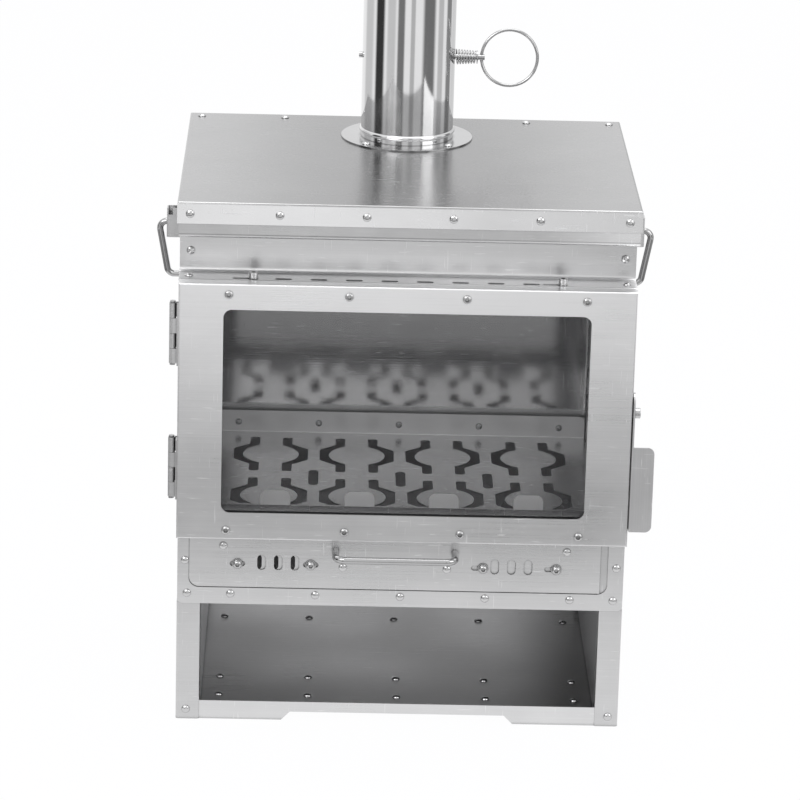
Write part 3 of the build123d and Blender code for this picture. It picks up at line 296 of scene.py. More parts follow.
def reflectance(board, level):
    """Grey of a metal from its level."""
    sockets = {"Factor": level, "A": grey(0.0), "B": grey(1.0)}
    return board.node("ShaderNodeMix", {"data_type": "RGBA"}, sockets)[2]


# Steel: how the grain, the clouds, the smears and the cuts change tone and gloss, and how far the
# painted shade in gaps reaches and how dark it gets
COOLNESS = 1.005
GAP_REACH = 4 * mm
GAP_SHADE_LEAST = 0.3
UPRIGHT = (5, 5, 900)
FLAT = (5, 900, 5)
ACROSS = (900, 5, 5)
DARKEST = 0.02
BRIGHTEST = 0.95
MIDDLE = 0.5
GRAIN_TONE = 0.16
GRAIN_GLOSS = 0.12
CLOUD_SCALE = (9, 9, 9)
CLOUD_GLOSS = 0.14
SMEAR_SCALE = (26, 26, 60)
SMEAR_TURN = (0.3, 0.5, 0.2)
SMEAR_SHARE = 0.6
LEVEL_CUT_SCALE = (60, 700, 700)
LEVEL_CUT_TURN = (0.2, 0.5, 0.35)
LEVEL_CUT_EDGES = (0.69, 0.76)
STEEP_CUT_SCALE = (700, 700, 45)
STEEP_CUT_TURN = (0.4, 0.3, -0.6)
STEEP_CUT_EDGES = (0.7, 0.77)
CUT_GLOSS = 0.08
FULL_SPREAD = 0.25
SMOOTHEST = 0.05
WAVE_SCALE = (7, 7, 7)
WAVE_TURN = (0.1, 0.2, 0.7)
WAVE_DEPTH = 4 * mm
RELIEF = 0.22
RELIEF_DEPTH = 0.12 * mm


def steel(
    name, tone, roughness, grain=UPRIGHT, clouds=0.16, marks=0.16, wave=0.25, gap=GAP_SHADE_LEAST,
    shade=None, dull=None,
):
    """Brushed steel: grain, cloudy patches, handling marks and a slightly wavy sheet, with painted
    shade in gaps and the painted light and shade of an optional shade function.
    """
    material, board = new_material(name)
    lines = board.noise(grain, detail=3.0, rough=0.7)
    cloud = board.noise(CLOUD_SCALE, detail=4.0, rough=0.6)
    smear = board.noise(SMEAR_SCALE, turn=SMEAR_TURN, detail=3.0)
    level_cuts = board.noise(LEVEL_CUT_SCALE, turn=LEVEL_CUT_TURN, detail=1.0)
    steep_cuts = board.noise(STEEP_CUT_SCALE, turn=STEEP_CUT_TURN, detail=1.0)
    scratch = level_cuts.ease(*LEVEL_CUT_EDGES).larger(steep_cuts.ease(*STEEP_CUT_EDGES))
    light = (
        1.0
        + (lines - MIDDLE) * GRAIN_TONE
        + (cloud - MIDDLE) * clouds
        + (smear - MIDDLE) * (clouds * SMEAR_SHARE)
        + scratch * marks
    )
    # Painted light and shade from the piece's shade function
    if shade is not None:
        light = light * shade(board)
    level = light * tone
    # Painted shade in gaps, where another face lies close by
    if gap < 1:
        level = level * board.painted_gap_shade(GAP_REACH, gap)
    colour = reflectance(board, level.smaller(BRIGHTEST).larger(DARKEST))
    uneven = (cloud - MIDDLE) * CLOUD_GLOSS + (lines - MIDDLE) * GRAIN_GLOSS + scratch * CUT_GLOSS
    gloss = roughness + uneven * min(1.0, roughness / FULL_SPREAD)
    if dull is not None:
        gloss = gloss + dull(board)
    ripple = board.noise(WAVE_SCALE, turn=WAVE_TURN, detail=1.0)
    waved = board.node(
        "ShaderNodeBump", {}, {"Strength": wave, "Distance": WAVE_DEPTH, "Height": ripple}
    )["Normal"]
    normal = board.node(
        "ShaderNodeBump",
        {},
        {
            "Strength": RELIEF,
            "Distance": RELIEF_DEPTH,
            "Height": lines * 0.8 + scratch * 0.5 + smear * 0.4,
            "Normal": waved,
        },
    )["Normal"]
    finish_material(
        board,
        {
            "Base Color": colour,
            "Metallic": 1.0,
            "Roughness": gloss.larger(SMOOTHEST),
            "Normal": normal,
        },
    )
    return material


# Polished metal and glass
DRAWN_TONE = 0.12
DRAWN_GLOSS = 0.04
DULLED_TONE = 0.08
DULLED_GLOSS = 0.06
MIRROR_GLOSS = 0.03
LONG_STREAKS = (60, 60, 2)
WIRE_GRAIN = (200, 200, 200)
HEAD_GRAIN = (300, 300, 300)


def polished(name, tone, roughness, streak=LONG_STREAKS):
    """Bright drawn steel with faint streaks along the metal and small dulled spots."""
    material, board = new_material(name)
    drawn = board.noise(streak, detail=3.0, rough=0.7)
    dulled = board.noise((40, 40, 40), detail=4.0)
    level = tone * (1.0 + (drawn - MIDDLE) * DRAWN_TONE + (dulled - MIDDLE) * DULLED_TONE)
    # Painted shade in gaps, where another face lies close by
    level = level * board.painted_gap_shade(GAP_REACH / 2, GAP_SHADE_LEAST)
    colour = reflectance(board, level.smaller(BRIGHTEST))
    normal = board.node(
        "ShaderNodeBump", {}, {"Strength": 0.06, "Distance": 0.1 * mm, "Height": drawn}
    )["Normal"]
    gloss = roughness + (dulled - MIDDLE) * DULLED_GLOSS + (drawn - MIDDLE) * DRAWN_GLOSS
    finish_material(
        board,
        {
            "Base Color": colour,
            "Metallic": 1.0,
            "Roughness": gloss.larger(MIRROR_GLOSS),
            "Normal": normal,
        },
    )
    return material


def clear_glass(name, tint, film):
    """Window glass with a thin film, wiping marks and fine scratches."""
    material, board = new_material(name)
    wiped = board.noise((8, 8, 14), turn=(0, 0.5, 0), detail=4.0, rough=0.65)
    cut = board.noise((30, 30, 500), turn=(0, 0.9, 0), detail=1.0).ease(0.7, 0.78)
    cover = film + (wiped - 0.45) * 0.06 + cut * 0.05
    finish_material(
        board,
        {
            "Base Color": tint,
            "Roughness": (0.05 + wiped * 0.06 + cut * 0.2),
            "IOR": 1.5,
            "Alpha": cover.larger(0.03),
        },
    )
    return material


def woven(name, colour):
    """Woven fibre band, dark between its threads and lighter on them."""
    material, board = new_material(name)
    weft = board.noise((900, 300, 900), detail=2.0)
    low, high = ([c * share for c in colour[:3]] + [1] for share in (0.6, 1.5))
    mixed = board.node(
        "ShaderNodeMix", {"data_type": "RGBA"}, {"Factor": weft, "A": low, "B": high}
    )[2]
    normal = board.node(
        "ShaderNodeBump", {}, {"Strength": 0.6, "Distance": 0.3 * mm, "Height": weft}
    )["Normal"]
    finish_material(board, {"Base Color": mixed, "Roughness": 0.9, "Normal": normal})
    return material


def dress(nodes, material):
    """Give CAD nodes one finish."""
    for name in nodes:
        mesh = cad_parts[name].data
        mesh.materials.clear()
        mesh.materials.append(material)


# Rivets

HEAD_SEGMENTS = 32
HEAD_RINGS = 16
SHANK_SEGMENTS = 20


def seat_mesh(seats):
    """Points on the seats, each with the direction its fastener faces."""
    mesh = bpy.data.meshes.new("seats")
    mesh.from_pydata([[c * mm for c in place] for place, _ in seats], [], [])
    facing = mesh.attributes.new("facing", "FLOAT_VECTOR", "POINT")
    for item, (_, direction) in zip(facing.data, seats):
        item.vector = direction
    return mesh


def rivet_tree():
    """Domed heads with their shanks, one on each seat."""
    tree = bpy.data.node_groups.new("domed rivets", "GeometryNodeTree")
    inputs = (
        ("Seats", "NodeSocketGeometry"),
        ("Head radius", "NodeSocketFloat"),
        ("Head height", "NodeSocketFloat"),
        ("Shank radius", "NodeSocketFloat"),
        ("Length", "NodeSocketFloat"),
        ("Finish", "NodeSocketMaterial"),
    )
    for name, kind in inputs:
        tree.interface.new_socket(name=name, in_out="INPUT", socket_type=kind)
    tree.interface.new_socket(name="Rivets", in_out="OUTPUT", socket_type="NodeSocketGeometry")
    board = Board(tree)
    given = board.node("NodeGroupInput")
    round_sizes = {"Segments": HEAD_SEGMENTS, "Rings": HEAD_RINGS, "Radius": 1.0}
    ball = board.node("GeometryNodeMeshUVSphere", {}, round_sizes)
    at = board.node("GeometryNodeInputPosition")["Position"]
    high = board.axis(at, "Z").larger(0.0) * given["Head height"]
    wide = board.axis(at, "X") * given["Head radius"]
    deep = board.axis(at, "Y") * given["Head radius"]
    dome_place = board.node("ShaderNodeCombineXYZ", {}, {"X": wide, "Y": deep, "Z": high})["Vector"]
    dome = board.node(
        "GeometryNodeSetPosition", {}, {"Geometry": ball["Mesh"], "Position": dome_place}
    )["Geometry"]
    rod = board.node(
        "GeometryNodeMeshCylinder",
        {},
        {"Vertices": SHANK_SEGMENTS, "Radius": given["Shank radius"], "Depth": given["Length"]},
    )["Mesh"]
    sunk = board.node("ShaderNodeCombineXYZ", {}, {"Z": given["Length"] * -0.5})["Vector"]
    shank = board.node(
        "GeometryNodeTransform", {}, {"Geometry": rod, "Translation": sunk}
    )["Geometry"]
    rivet = board.node("GeometryNodeJoinGeometry")
    tree.links.new(dome.socket, rivet.node.inputs[0])
    tree.links.new(shank.socket, rivet.node.inputs[0])
    facing = board.node(
        "GeometryNodeInputNamedAttribute", {"data_type": "FLOAT_VECTOR"}, {"Name": "facing"}
    )["Attribute"]
    aimed = board.node("FunctionNodeAlignRotationToVector", {"axis": "Z"}, {"Vector": facing})[0]
    placed = board.node(
        "GeometryNodeInstanceOnPoints",
        {},
        {"Points": given["Seats"], "Instance": rivet["Geometry"], "Rotation": aimed},
    )["Instances"]
    real = board.node("GeometryNodeRealizeInstances", {}, {"Geometry": placed})["Geometry"]
    smooth = board.node("GeometryNodeSetShadeSmooth", {}, {"Geometry": real})["Geometry"]
    done = board.node(
        "GeometryNodeSetMaterial", {}, {"Geometry": smooth, "Material": given["Finish"]}
    )["Geometry"]
    board.node("NodeGroupOutput", {}, {0: done})
    return tree


def grown(name, mesh, tree, values, body, nodes, slot):
    """Run a tree on a mesh, keep the result as a plain mesh, and fix it to a body."""
    seed = bpy.data.objects.new(name + "_seats", mesh)
    bpy.context.scene.collection.objects.link(seed)
    modifier = seed.modifiers.new("pieces", "NODES")
    modifier.node_group = tree
    keys = {s.name: s.identifier for s in tree.interface.items_tree if s.in_out == "INPUT"}
    for label, value in values.items():
        modifier[keys[label]] = value
    depsgraph = bpy.context.evaluated_depsgraph_get()
    made = bpy.data.meshes.new_from_object(seed.evaluated_get(depsgraph))
    bpy.data.objects.remove(seed)
    piece = bpy.data.objects.new(name, made)
    bpy.context.scene.collection.objects.link(piece)
    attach(piece, body)
    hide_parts(*nodes)
    return piece


# Rivet seats, in millimetres
FRONT, UP, LEFT, RIGHT = (0, -1, 0), (0, 0, 1), (-1, 0, 0), (1, 0, 0)
FIVE_PLACES = range(-2, 3)
APRON_FACE, APRON_ROW_HEIGHT, APRON_PITCH = -134.5, 114, 71.4
FLOOR_TOP, FLOOR_PITCH, CHANNEL_HALF = 8.6, 76.15, 21.4
CHANNEL_MIDDLES = (-75.8, 114.8)
RAIL_FACE, RAIL_HEIGHT, RAIL_PITCH = 99.8, 177.8, 142.2
LID_ROW = (35.4, 106.4, 179.6)
LID_FRONT, LID_FRONT_HEIGHT = -145, 446.4
LID_BACK_ROW, LID_TOP = 152.8, 456.2
CORNER_X, UPPER_CORNER_X, UPPER_CORNER_HEIGHT = 179.3, 181.2, 143.2
BASE_FACE, FOOT_HEIGHT = -133.3, 8.7
FASCIA_X, FASCIA_FACE, FASCIA_HEIGHT = 179.8, -108, 405.5
LEDGE_X, LEDGE_Y, LEDGE_TOP = 180.8, -123.5, 388
SIDE_FACE, BRACKET_HEIGHT = 188.8, 394.1
BRACKET_ROW = (13.5, 36.5)
FLUE_Y, FLANGE_RING, FLANGE_TOP = 94, 50.3, 457.4
FLANGE_ANGLES = range(45, 360, 90)
DRAWER_MIDDLE, DRAWER_FACE = -5, -134.8
DRAWER_PAIRS = ((144.1, 156.9), (43.7, 139.4))
LEAF_Y, LEAF_RIVET_HALF = -123.7, 17.33
HINGE_HEIGHTS = (342.2, 226.0)


def stove_seats():
    """Rivet seats on the stove itself."""
    seats = [((i * APRON_PITCH, APRON_FACE, APRON_ROW_HEIGHT), FRONT) for i in FIVE_PLACES]
    for y in CHANNEL_MIDDLES:
        for row in (y - CHANNEL_HALF, y + CHANNEL_HALF):
            seats += [((i * FLOOR_PITCH, row, FLOOR_TOP), UP) for i in FIVE_PLACES]
    seats += [((i * RAIL_PITCH, RAIL_FACE, RAIL_HEIGHT), FRONT) for i in (-1, 0, 1)]
    for s, outward in ((-1, LEFT), (1, RIGHT)):
        seats += [((s * x, LID_FRONT, LID_FRONT_HEIGHT), FRONT) for x in LID_ROW]
        seats += [((s * x, LID_BACK_ROW, LID_TOP), UP) for x in LID_ROW]
        seats += [((s * SIDE_FACE, y, BRACKET_HEIGHT), outward) for y in BRACKET_ROW]
        seats += [
            ((s * CORNER_X, APRON_FACE, APRON_ROW_HEIGHT), FRONT),
            ((s * UPPER_CORNER_X, APRON_FACE, UPPER_CORNER_HEIGHT), FRONT),
            ((s * CORNER_X, BASE_FACE, FOOT_HEIGHT), FRONT),
            ((s * FASCIA_X, FASCIA_FACE, FASCIA_HEIGHT), FRONT),
            ((s * LEDGE_X, LEDGE_Y, LEDGE_TOP), UP),
        ]
    for angle in map(math.radians, FLANGE_ANGLES):
        x, y = FLANGE_RING * math.cos(angle), FLUE_Y + FLANGE_RING * math.sin(angle)
        seats.append(((x, y, FLANGE_TOP), UP))
    return seats


def drawer_seats():
    """Rivet seats on the drawer's front."""
    return [
        ((DRAWER_MIDDLE + s * x, DRAWER_FACE, height), FRONT)
        for x, height in DRAWER_PAIRS
        for s in (-1, 1)
    ]


def hinge_seats():
    """Rivet seats on the hinge leaves of the body."""
    return [
        ((-SIDE_FACE, LEAF_Y, height + t), LEFT)
        for height in HINGE_HEIGHTS
        for t in (-LEAF_RIVET_HALF, LEAF_RIVET_HALF)
    ]


# Shades: painted light and shade over a piece, with some random tone, with each zone's edges from
# fully off to fully on
LID_DEPTH = 311 * mm
LID_SIDE = (47.5 * mm, 199.5 * mm)
LID_RIM = (454 * mm, 455.5 * mm)
LID_RIM_HIGHLIGHT = 1.26
DOOR_HEIGHT = (166 * mm, 388 * mm)
DOOR_SHADE_TO_HIGHLIGHT = (0.86, 1.13)
DOOR_RIGHT = (100 * mm, 188 * mm)
LEDGE_ZONE = (388.4 * mm, 389.4 * mm)
LEDGE_LENGTH = (-170 * mm, 170 * mm)
LEDGE_PAINTED_LIGHT = (-0.25, 0.6)
LIP_ZONE = (-142 * mm, -140 * mm)
CHANNEL_RIGHT = (100 * mm, 190 * mm)
GRATE_LIP = (93.5 * mm, 94.5 * mm)
GRATE_STOPS = (184.2 * mm, 185 * mm)
SMOKED_WALL = (206 * mm, 210 * mm)
STORE_FRONT = (-100 * mm, 0.0)
STORE_FLOOR_RIGHT = (100 * mm, 175 * mm)
STORE_WALL_RIGHT = (90 * mm, 170 * mm)


def lid_shade(board):
    """Lid: the rim gets a painted highlight, and the top gets painted shade that deepens from its
    edges towards the flue.
    """
    at = board.place()
    deep = (board.axis(at, "Y") - LID_FRONT * mm) / LID_DEPTH
    side = board.axis(at, "X").size().ease(*LID_SIDE)
    top = 0.45 + side * 0.22 + deep * 0.02
    rim = board.axis(at, "Z").ease(*LID_RIM, 1.0, 0.0)
    return top + rim * (LID_RIM_HIGHLIGHT - top)


def door_shade(board):
    """Door: painted light and shade, bright along its upper edge and darker towards its foot and
    its right edge.
    """
    at = board.place()
    right = board.axis(at, "X").ease(*DOOR_RIGHT)
    return board.axis(at, "Z").ease(*DOOR_HEIGHT, *DOOR_SHADE_TO_HIGHLIGHT) - right * 0.02


def channel_shade(board):
    """Channel: painted light and shade. The lip is painted darker with a random mottle and a
    painted highlight at its right end, the ledge gets painted light that grows to the right with
    soft bright patches, and the whole channel is painted a little darker to the right.
    """
    at = board.place()
    east, north = board.axis(at, "X"), board.axis(at, "Y")
    ledge = board.axis(at, "Z").ease(*LEDGE_ZONE, 1.0, 0.0)
    patches = board.noise((14, 14, 14), turn=(0.2, 0, 0.4), detail=1.0).ease(0.35, 0.65)
    across = east.ease(*LEDGE_LENGTH, *LEDGE_PAINTED_LIGHT)
    lip = north.ease(*LIP_ZONE, 1.0, 0.0)
    mottled = board.noise((30, 30, 90), detail=3.0)
    right = east.ease(*CHANNEL_RIGHT)
    on_ledge = patches * 0.25 + across
    on_lip = (mottled - MIDDLE) * 0.24 + right * 0.5 - 0.13
    return 1.0 - right * 0.08 + ledge * on_ledge + lip * on_lip


def grate_shade(board):
    """Grate: painted highlights on the rear lip and the log stops."""
    at = board.place()
    rear = board.axis(at, "Y").ease(*GRATE_LIP)
    stops = board.axis(at, "Z").ease(*GRATE_STOPS)
    return 1.0 + rear * 0.6 + (1.0 - rear) * stops * 0.9


def grate_dull(board):
    """Grate: the rear lip and the log stops are duller than the plate."""
    at = board.place()
    rear = board.axis(at, "Y").ease(*GRATE_LIP)
    stops = board.axis(at, "Z").ease(*GRATE_STOPS)
    return rear * 0.16 + stops * (1.0 - rear * 0.64) * 0.26


def liner_dull(board):
    """Firebox walls: smoked dull behind the grate's lip."""
    return board.axis(board.place(), "Z").ease(*SMOKED_WALL, 0.3, 0.0)


def floor_shade(board):
    """Wood store's floor: painted shade, darker along its front and towards its right end and
    brighter in the middle, with random patches.
    """
    at = board.place()
    front = board.axis(at, "Y").ease(*STORE_FRONT, 0.72, 1.12)
    east = board.axis(at, "X").ease(*STORE_FLOOR_RIGHT, 1.0, 0.6)
    patches = board.noise((6, 6, 6), turn=(0, 0, 0.5), detail=1.0).ease(0.3, 0.7, 0.85, 1.2)
    return front * east * patches


def store_shade(board):
    """Wood store: painted shade that darkens its walls towards the right end."""
    return board.axis(board.place(), "X").ease(*STORE_WALL_RIGHT, 1.0, 0.55)


# Operators


class StoveOuterSheets(bpy.types.Operator):
    """Brushed finish on the lid, the door, the body and the base"""

    bl_idname = "stove.outer_sheets"
    bl_label = "Outer sheets"

    def execute(self, context):
        steel_set = context.scene.stove_steel
        tone, rough = steel_set.outer_tone, steel_set.sheet_roughness
        dress(["lid"], steel("lid_steel", tone, rough * 0.8, FLAT, wave=0.3, shade=lid_shade))
        # The door's steel is a brighter copy of the outer steel: painted light
        dress(["door_frame"], steel("door_steel", tone * 1.2, rough, UPRIGHT, shade=door_shade))
        dress(["recess_channel"], steel("channel_steel", tone, rough, UPRIGHT, shade=channel_shade))
        dress(["body_shell", "base_shell"], steel("body_steel", tone * 0.88, rough, UPRIGHT))
        dress(["front_panel", "base_front_rail"], steel("apron_steel", tone, rough, UPRIGHT))
        dress(["drawer_front"], steel("drawer_steel", tone, rough * 0.95, UPRIGHT))
        dress(["latch_lever"], steel("lever_steel", tone, rough, ACROSS))
        dress(["flue_flange"], steel("flange_steel", tone * 0.8, rough * 0.6, FLAT))
        brackets = ["left_handle_bracket", "right_handle_bracket"]
        leaves = ["hinge_body_leaves", "hinge_door_leaves", "air_slider"]
        shutters = ["left_shutter", "right_shutter", "glass_retainers"]
        dress(brackets + leaves + shutters, steel("fitting_steel", tone, rough, UPRIGHT, wave=0.1))
        return {"FINISHED"}


class StoveInnerSheets(bpy.types.Operator):
    """Duller finish on the firebox, the grate and the wood store"""

    bl_idname = "stove.inner_sheets"
    bl_label = "Inner sheets"

    def execute(self, context):
        steel_set = context.scene.stove_steel
        tone, rough = steel_set.inner_tone, steel_set.sheet_roughness
        liner = steel("liner_steel", tone, rough * 0.28, wave=0.05, gap=1, dull=liner_dull)
        dress(["firebox_liner"], liner)
        dress(["front_sill"], steel("sill_steel", tone, rough * 0.4, FLAT, wave=0.05, gap=1))
        seen_ends = {"shade": grate_shade, "dull": grate_dull}
        dress(["grate"], steel("grate_steel", tone, rough * 0.8, FLAT, gap=1, **seen_ends))
        dress(["grate_rails"], steel("rail_steel", tone, rough, FLAT, gap=1))
        # The store's walls are a brighter copy of the inner steel: painted light
        walls = steel("store_wall_steel", tone * 1.4, rough * 1.1, UPRIGHT, shade=store_shade)
        dress(["store_liner"], walls)
        dress(["store_floor"], steel("store_floor_steel", tone, rough, FLAT, shade=floor_shade))
        others = ["floor_channels", "ash_deck", "liner_cap", "ash_tray"]
        dress(others, steel("hidden_steel", tone, rough, FLAT))
        return {"FINISHED"}


class StovePolishedParts(bpy.types.Operator):
    """Bright finish on the flue, the damper and the bent wires"""

    bl_idname = "stove.polished_parts"
    bl_label = "Flue, damper and wires"

    def execute(self, context):
        steel_set = context.scene.stove_steel
        tone, rough = steel_set.polished_tone, steel_set.polished_roughness
        dress(["flue_pipe"], polished("flue_steel", tone, rough))
        wires = ["drawer_handle", "left_side_handle", "right_side_handle"]
        damper = ["damper_ring", "damper_spring", "damper_shaft", "damper_disc"]
        dress(wires + damper, polished("wire_steel", tone * 0.62, rough * 1.6, WIRE_GRAIN))
        return {"FINISHED"}


class StoveWindow(bpy.types.Operator):
    """Glass and gasket of the door's window"""

    bl_idname = "stove.window"
    bl_label = "Window"

    def execute(self, context):
        glass = context.scene.stove_glass
        dress(["door_glass"], clear_glass("window_glass", tuple(glass.tint), glass.film))
        dress(["glass_gasket"], woven("gasket_fibre", tuple(glass.gasket)))
        return {"FINISHED"}


class StoveBolts(bpy.types.Operator):
    """Finish of the socket-head bolts, screws and pins"""

    bl_idname = "stove.bolts"
    bl_label = "Bolts and screws"

    def execute(self, context):
        tone = context.scene.stove_steel.outer_tone
        bolts = [
            "grate_bolts", "door_screws", "left_shutter_bolts", "right_shutter_bolts",
            "air_slider_bolts", "latch_pivot_bolt", "latch_stud", "hinge_pins",
        ]
        dress(bolts, polished("bolt_steel", tone * 0.78, 0.22, HEAD_GRAIN))
        return {"FINISHED"}


class StoveRivets(bpy.types.Operator):
    """Dome-headed rivets on the stove, the drawer and the hinges"""

    bl_idname = "stove.rivets"
    bl_label = "Rivets"

    def execute(self, context):
        sizes = context.scene.stove_fasteners
        tree = rivet_tree()
        tone = context.scene.stove_steel.polished_tone
        finish = polished("rivet_steel", tone * 0.8, 0.16, HEAD_GRAIN)
        values = {
            "Head radius": sizes.head_radius,
            "Head height": sizes.head_height,
            "Shank radius": sizes.shank_radius,
            "Length": sizes.length,
            "Finish": finish,
        }
        nodes = [
            "base_rivets", "front_panel_rivets", "lid_rivets", "recess_rivets",
            "flue_flange_rivets", "handle_bracket_rivets", "grate_rail_rivets",
        ]
        grown("stove_rivets", seat_mesh(stove_seats()), tree, values, "stove", nodes, "lid_rivets")
        held = ["drawer_rivets"]
        grown("drawer_front_rivets", seat_mesh(drawer_seats()), tree, values, "drawer", held, *held)
        values["Head radius"] = sizes.leaf_head_radius
        held = ["hinge_rivets"]
        grown("hinge_leaf_rivets", seat_mesh(hinge_seats()), tree, values, "stove", held, *held)
        return {"FINISHED"}


# Studio: what glossy metal mirrors, in metres and degrees
BANDS = (
    (-118, 16, 0.3), (-78, 12, 0.97), (-46, 10, 0.32), (-21, 8, 0.8), (8, 5, 0.45),
    (50, 15, 0.82), (84, 8, 0.4), (116, 10, 0.72), (150, 20, 0.25),
)
BAND_CORE, BAND_FRINGE = 0.7, 1.4
BAND_HEIGHT = (0.35, 0.6)
FLOOR_HALF = 9
FLOOR_SINK = -0.2 * mm
FLOOR_GREY = 0.8
FLOOR_GLOW = 0.98
STOVE_HALVES = (0.19, 0.15)
# Ring of painted shade on the floor around the stove, seen only in reflections
RING_START = (0.28, 0.5)
RING_END = (0.6, 1.3)
RING_DEPTH = 0.75
FAR_FLOOR = (1.15, 1.35)
MIDDLE_OF_STOVE = (0, 0, 0.3)
SENSOR_WIDTH = 36
FARTHEST = 50


def lamp(name, place, target, size, power):
    """Soft square lamp that faces a point."""
    data = bpy.data.lights.new(name, "AREA")
    data.shape = "RECTANGLE"
    data.size, data.size_y = size
    data.energy = power
    lamp_object = bpy.data.objects.new(name, data)
    lamp_object.location = place
    aim = Vector(target) - Vector(place)
    lamp_object.rotation_euler = aim.to_track_quat("-Z", "Y").to_euler()
    bpy.context.scene.collection.objects.link(lamp_object)


def bands(board, east, north):
    """Darker upright bands of the room: each has a middle, a half width and a depth."""
    bearing = board.node("ShaderNodeMath", {"operation": "ARCTAN2"}, {0: east, 1: north * -1.0})[0]
    dark = None
    for middle, half, depth in BANDS:
        away = (bearing - math.radians(middle)).size()
        edges = (math.radians(half * share) for share in (BAND_CORE, BAND_FRINGE))
        band = away.ease(*edges, depth, 0.0)
        dark = band if dark is None else dark.larger(band)
    return 1.0 - dark


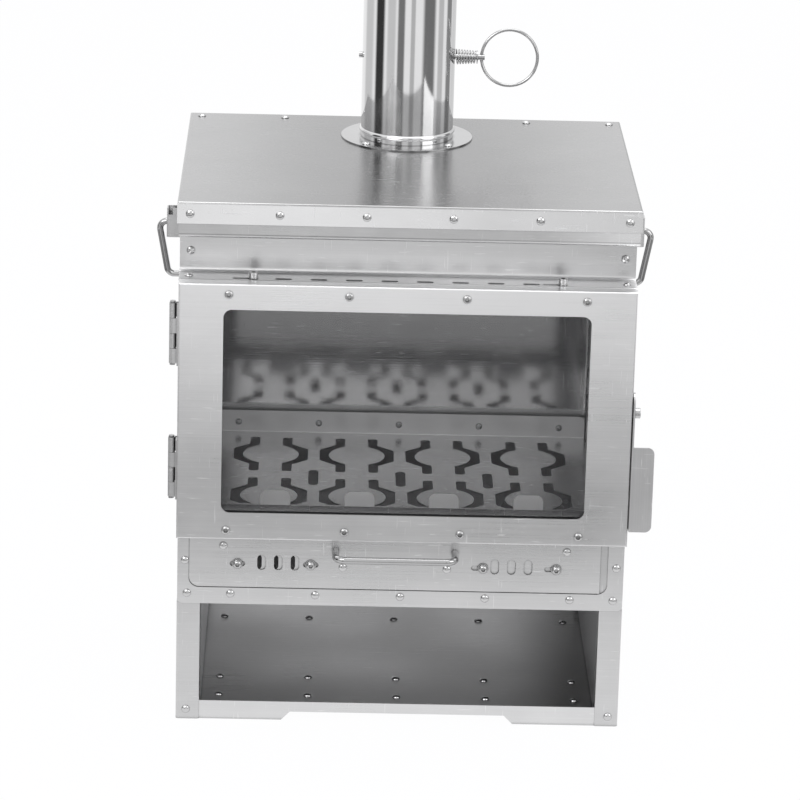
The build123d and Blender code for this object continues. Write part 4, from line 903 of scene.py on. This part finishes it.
class StoveStudio(bpy.types.Operator):
    """Camera, pale floor, white surroundings and soft lamps"""

    bl_idname = "stove.studio"
    bl_label = "Studio"

    def execute(self, context):
        room = context.scene.stove_studio
        scene = context.scene
        scene.view_settings.view_transform = "Standard"
        self.camera(scene, room)
        self.floor()
        self.surroundings(scene, room)
        lamp("key lamp", (-1.5, -2.2, 2.3), MIDDLE_OF_STOVE, (1.8, 1.4), room.key)
        lamp("fill lamp", (2.1, -1.5, 1.5), MIDDLE_OF_STOVE, (1.4, 1.8), room.fill)
        lamp("top lamp", (0.1, 0.3, 2.6), MIDDLE_OF_STOVE, (1.8, 1.8), room.top)
        return {"FINISHED"}

    def camera(self, scene, room):
        """Camera that looks ahead from its place, level but for its roll."""
        ahead = Vector(
            (
                math.sin(room.turn) * math.cos(room.dip),
                math.cos(room.turn) * math.cos(room.dip),
                -math.sin(room.dip),
            )
        )
        level = Vector((math.cos(room.turn), -math.sin(room.turn), 0))
        over = level.cross(ahead)
        right = level * math.cos(room.roll) + over * math.sin(room.roll)
        top = over * math.cos(room.roll) - level * math.sin(room.roll)
        data = bpy.data.cameras.new("camera")
        data.lens = room.lens
        data.sensor_width = SENSOR_WIDTH
        data.clip_end = FARTHEST
        camera = bpy.data.objects.new("camera", data)
        camera.matrix_world = Matrix(
            [(right[i], top[i], -ahead[i], room.place[i]) for i in range(3)] + [(0, 0, 0, 1)]
        )
        scene.collection.objects.link(camera)
        scene.camera = camera

    def floor(self):
        """Floor that looks white, and that glossy metal sees with a ring of painted shade near the
        stove and with far bands.
        """
        mesh = bpy.data.meshes.new("floor")
        half = FLOOR_HALF
        corners = [(-half, -half, 0), (half, -half, 0), (half, half, 0), (-half, half, 0)]
        mesh.from_pydata(corners, [], [(0, 1, 2, 3)])
        floor = bpy.data.objects.new("floor", mesh)
        floor.location.z = FLOOR_SINK
        bpy.context.scene.collection.objects.link(floor)
        material, board = new_material("floor_pale")
        path = board.node("ShaderNodeLightPath")
        at = board.place()
        east, north = board.axis(at, "X"), board.axis(at, "Y")
        half_width, half_depth = STOVE_HALVES
        reach = (east.size() - half_width).larger(north.size() - half_depth)
        # Painted shade: a dark ring on the floor near the stove, which only glossy rays see
        ring = reach.ease(*RING_START) * reach.ease(*RING_END, 1.0, 0.0)
        far = reach.ease(*FAR_FLOOR)
        banded = 1.0 - far * (1.0 - bands(board, east, north - FLUE_Y * mm))
        mirrored = (1.0 - ring * RING_DEPTH) * banded
        seen = path["Is Camera Ray"] + path["Is Transmission Ray"]
        glow = seen.smaller(1.0) + path["Is Glossy Ray"] * mirrored
        light = {"Color": grey(1.0), "Strength": glow.smaller(1.0)}
        white = board.node("ShaderNodeEmission", {}, light)[0]
        matte = board.node("ShaderNodeBsdfDiffuse", {}, {"Color": grey(FLOOR_GREY)})[0]
        share = (seen + path["Is Glossy Ray"]).smaller(1.0) * FLOOR_GLOW
        mixed = board.node("ShaderNodeMixShader", {}, {0: share, 1: matte, 2: white})[0]
        board.node("ShaderNodeOutputMaterial", {}, {"Surface": mixed})
        mesh.materials.append(material)

    def surroundings(self, scene, room):
        """White room, whose darker bands only glossy metal sees."""
        world = bpy.data.worlds.new("surroundings")
        world.use_nodes = True
        world.node_tree.nodes.clear()
        board = Board(world.node_tree)
        path = board.node("ShaderNodeLightPath")
        way = board.node("ShaderNodeTexCoord")["Generated"]
        east, north, height = (board.axis(way, k) for k in "XYZ")
        low = height.size().ease(*BAND_HEIGHT, 1.0, 0.0)
        banded = 1.0 - low * (1.0 - bands(board, east, north))
        seen = (path["Is Camera Ray"] + path["Is Transmission Ray"]).smaller(1.0)
        glossy = path["Is Glossy Ray"]
        rest = (1.0 - seen) * (1.0 - glossy)
        strength = seen + (1.0 - seen) * glossy * banded + rest * room.ambient
        light = {"Color": grey(1.0), "Strength": strength}
        shader = board.node("ShaderNodeBackground", {}, light)[0]
        board.node("ShaderNodeOutputWorld", {}, {"Surface": shader})
        scene.world = world


class StovePanel(bpy.types.Panel):
    """Steps that dress the stove"""

    bl_idname = "STOVE_PT_steps"
    bl_label = "Camping wood stove"
    bl_space_type = "VIEW_3D"
    bl_region_type = "UI"
    bl_category = "Stove"

    def draw(self, context):
        for operator in OPERATORS:
            self.layout.operator(operator.bl_idname)


SETTINGS = {
    "stove_steel": SteelSettings,
    "stove_glass": GlassSettings,
    "stove_fasteners": FastenerSettings,
    "stove_studio": StudioSettings,
}
OPERATORS = (
    StoveOuterSheets,
    StoveInnerSheets,
    StovePolishedParts,
    StoveWindow,
    StoveBolts,
    StoveRivets,
    StoveStudio,
)
CLASSES = (*SETTINGS.values(), *OPERATORS, StovePanel)


def register():
    for entry in CLASSES:
        bpy.utils.register_class(entry)
    for name, group in SETTINGS.items():
        setattr(bpy.types.Scene, name, PointerProperty(type=group))


def unregister():
    for name in SETTINGS:
        delattr(bpy.types.Scene, name)
    for entry in reversed(CLASSES):
        bpy.utils.unregister_class(entry)


def main():
    register()
    for operator in OPERATORS:
        getattr(bpy.ops.stove, operator.bl_idname.split(".")[1])()


if __name__ == "__main__":
    main()
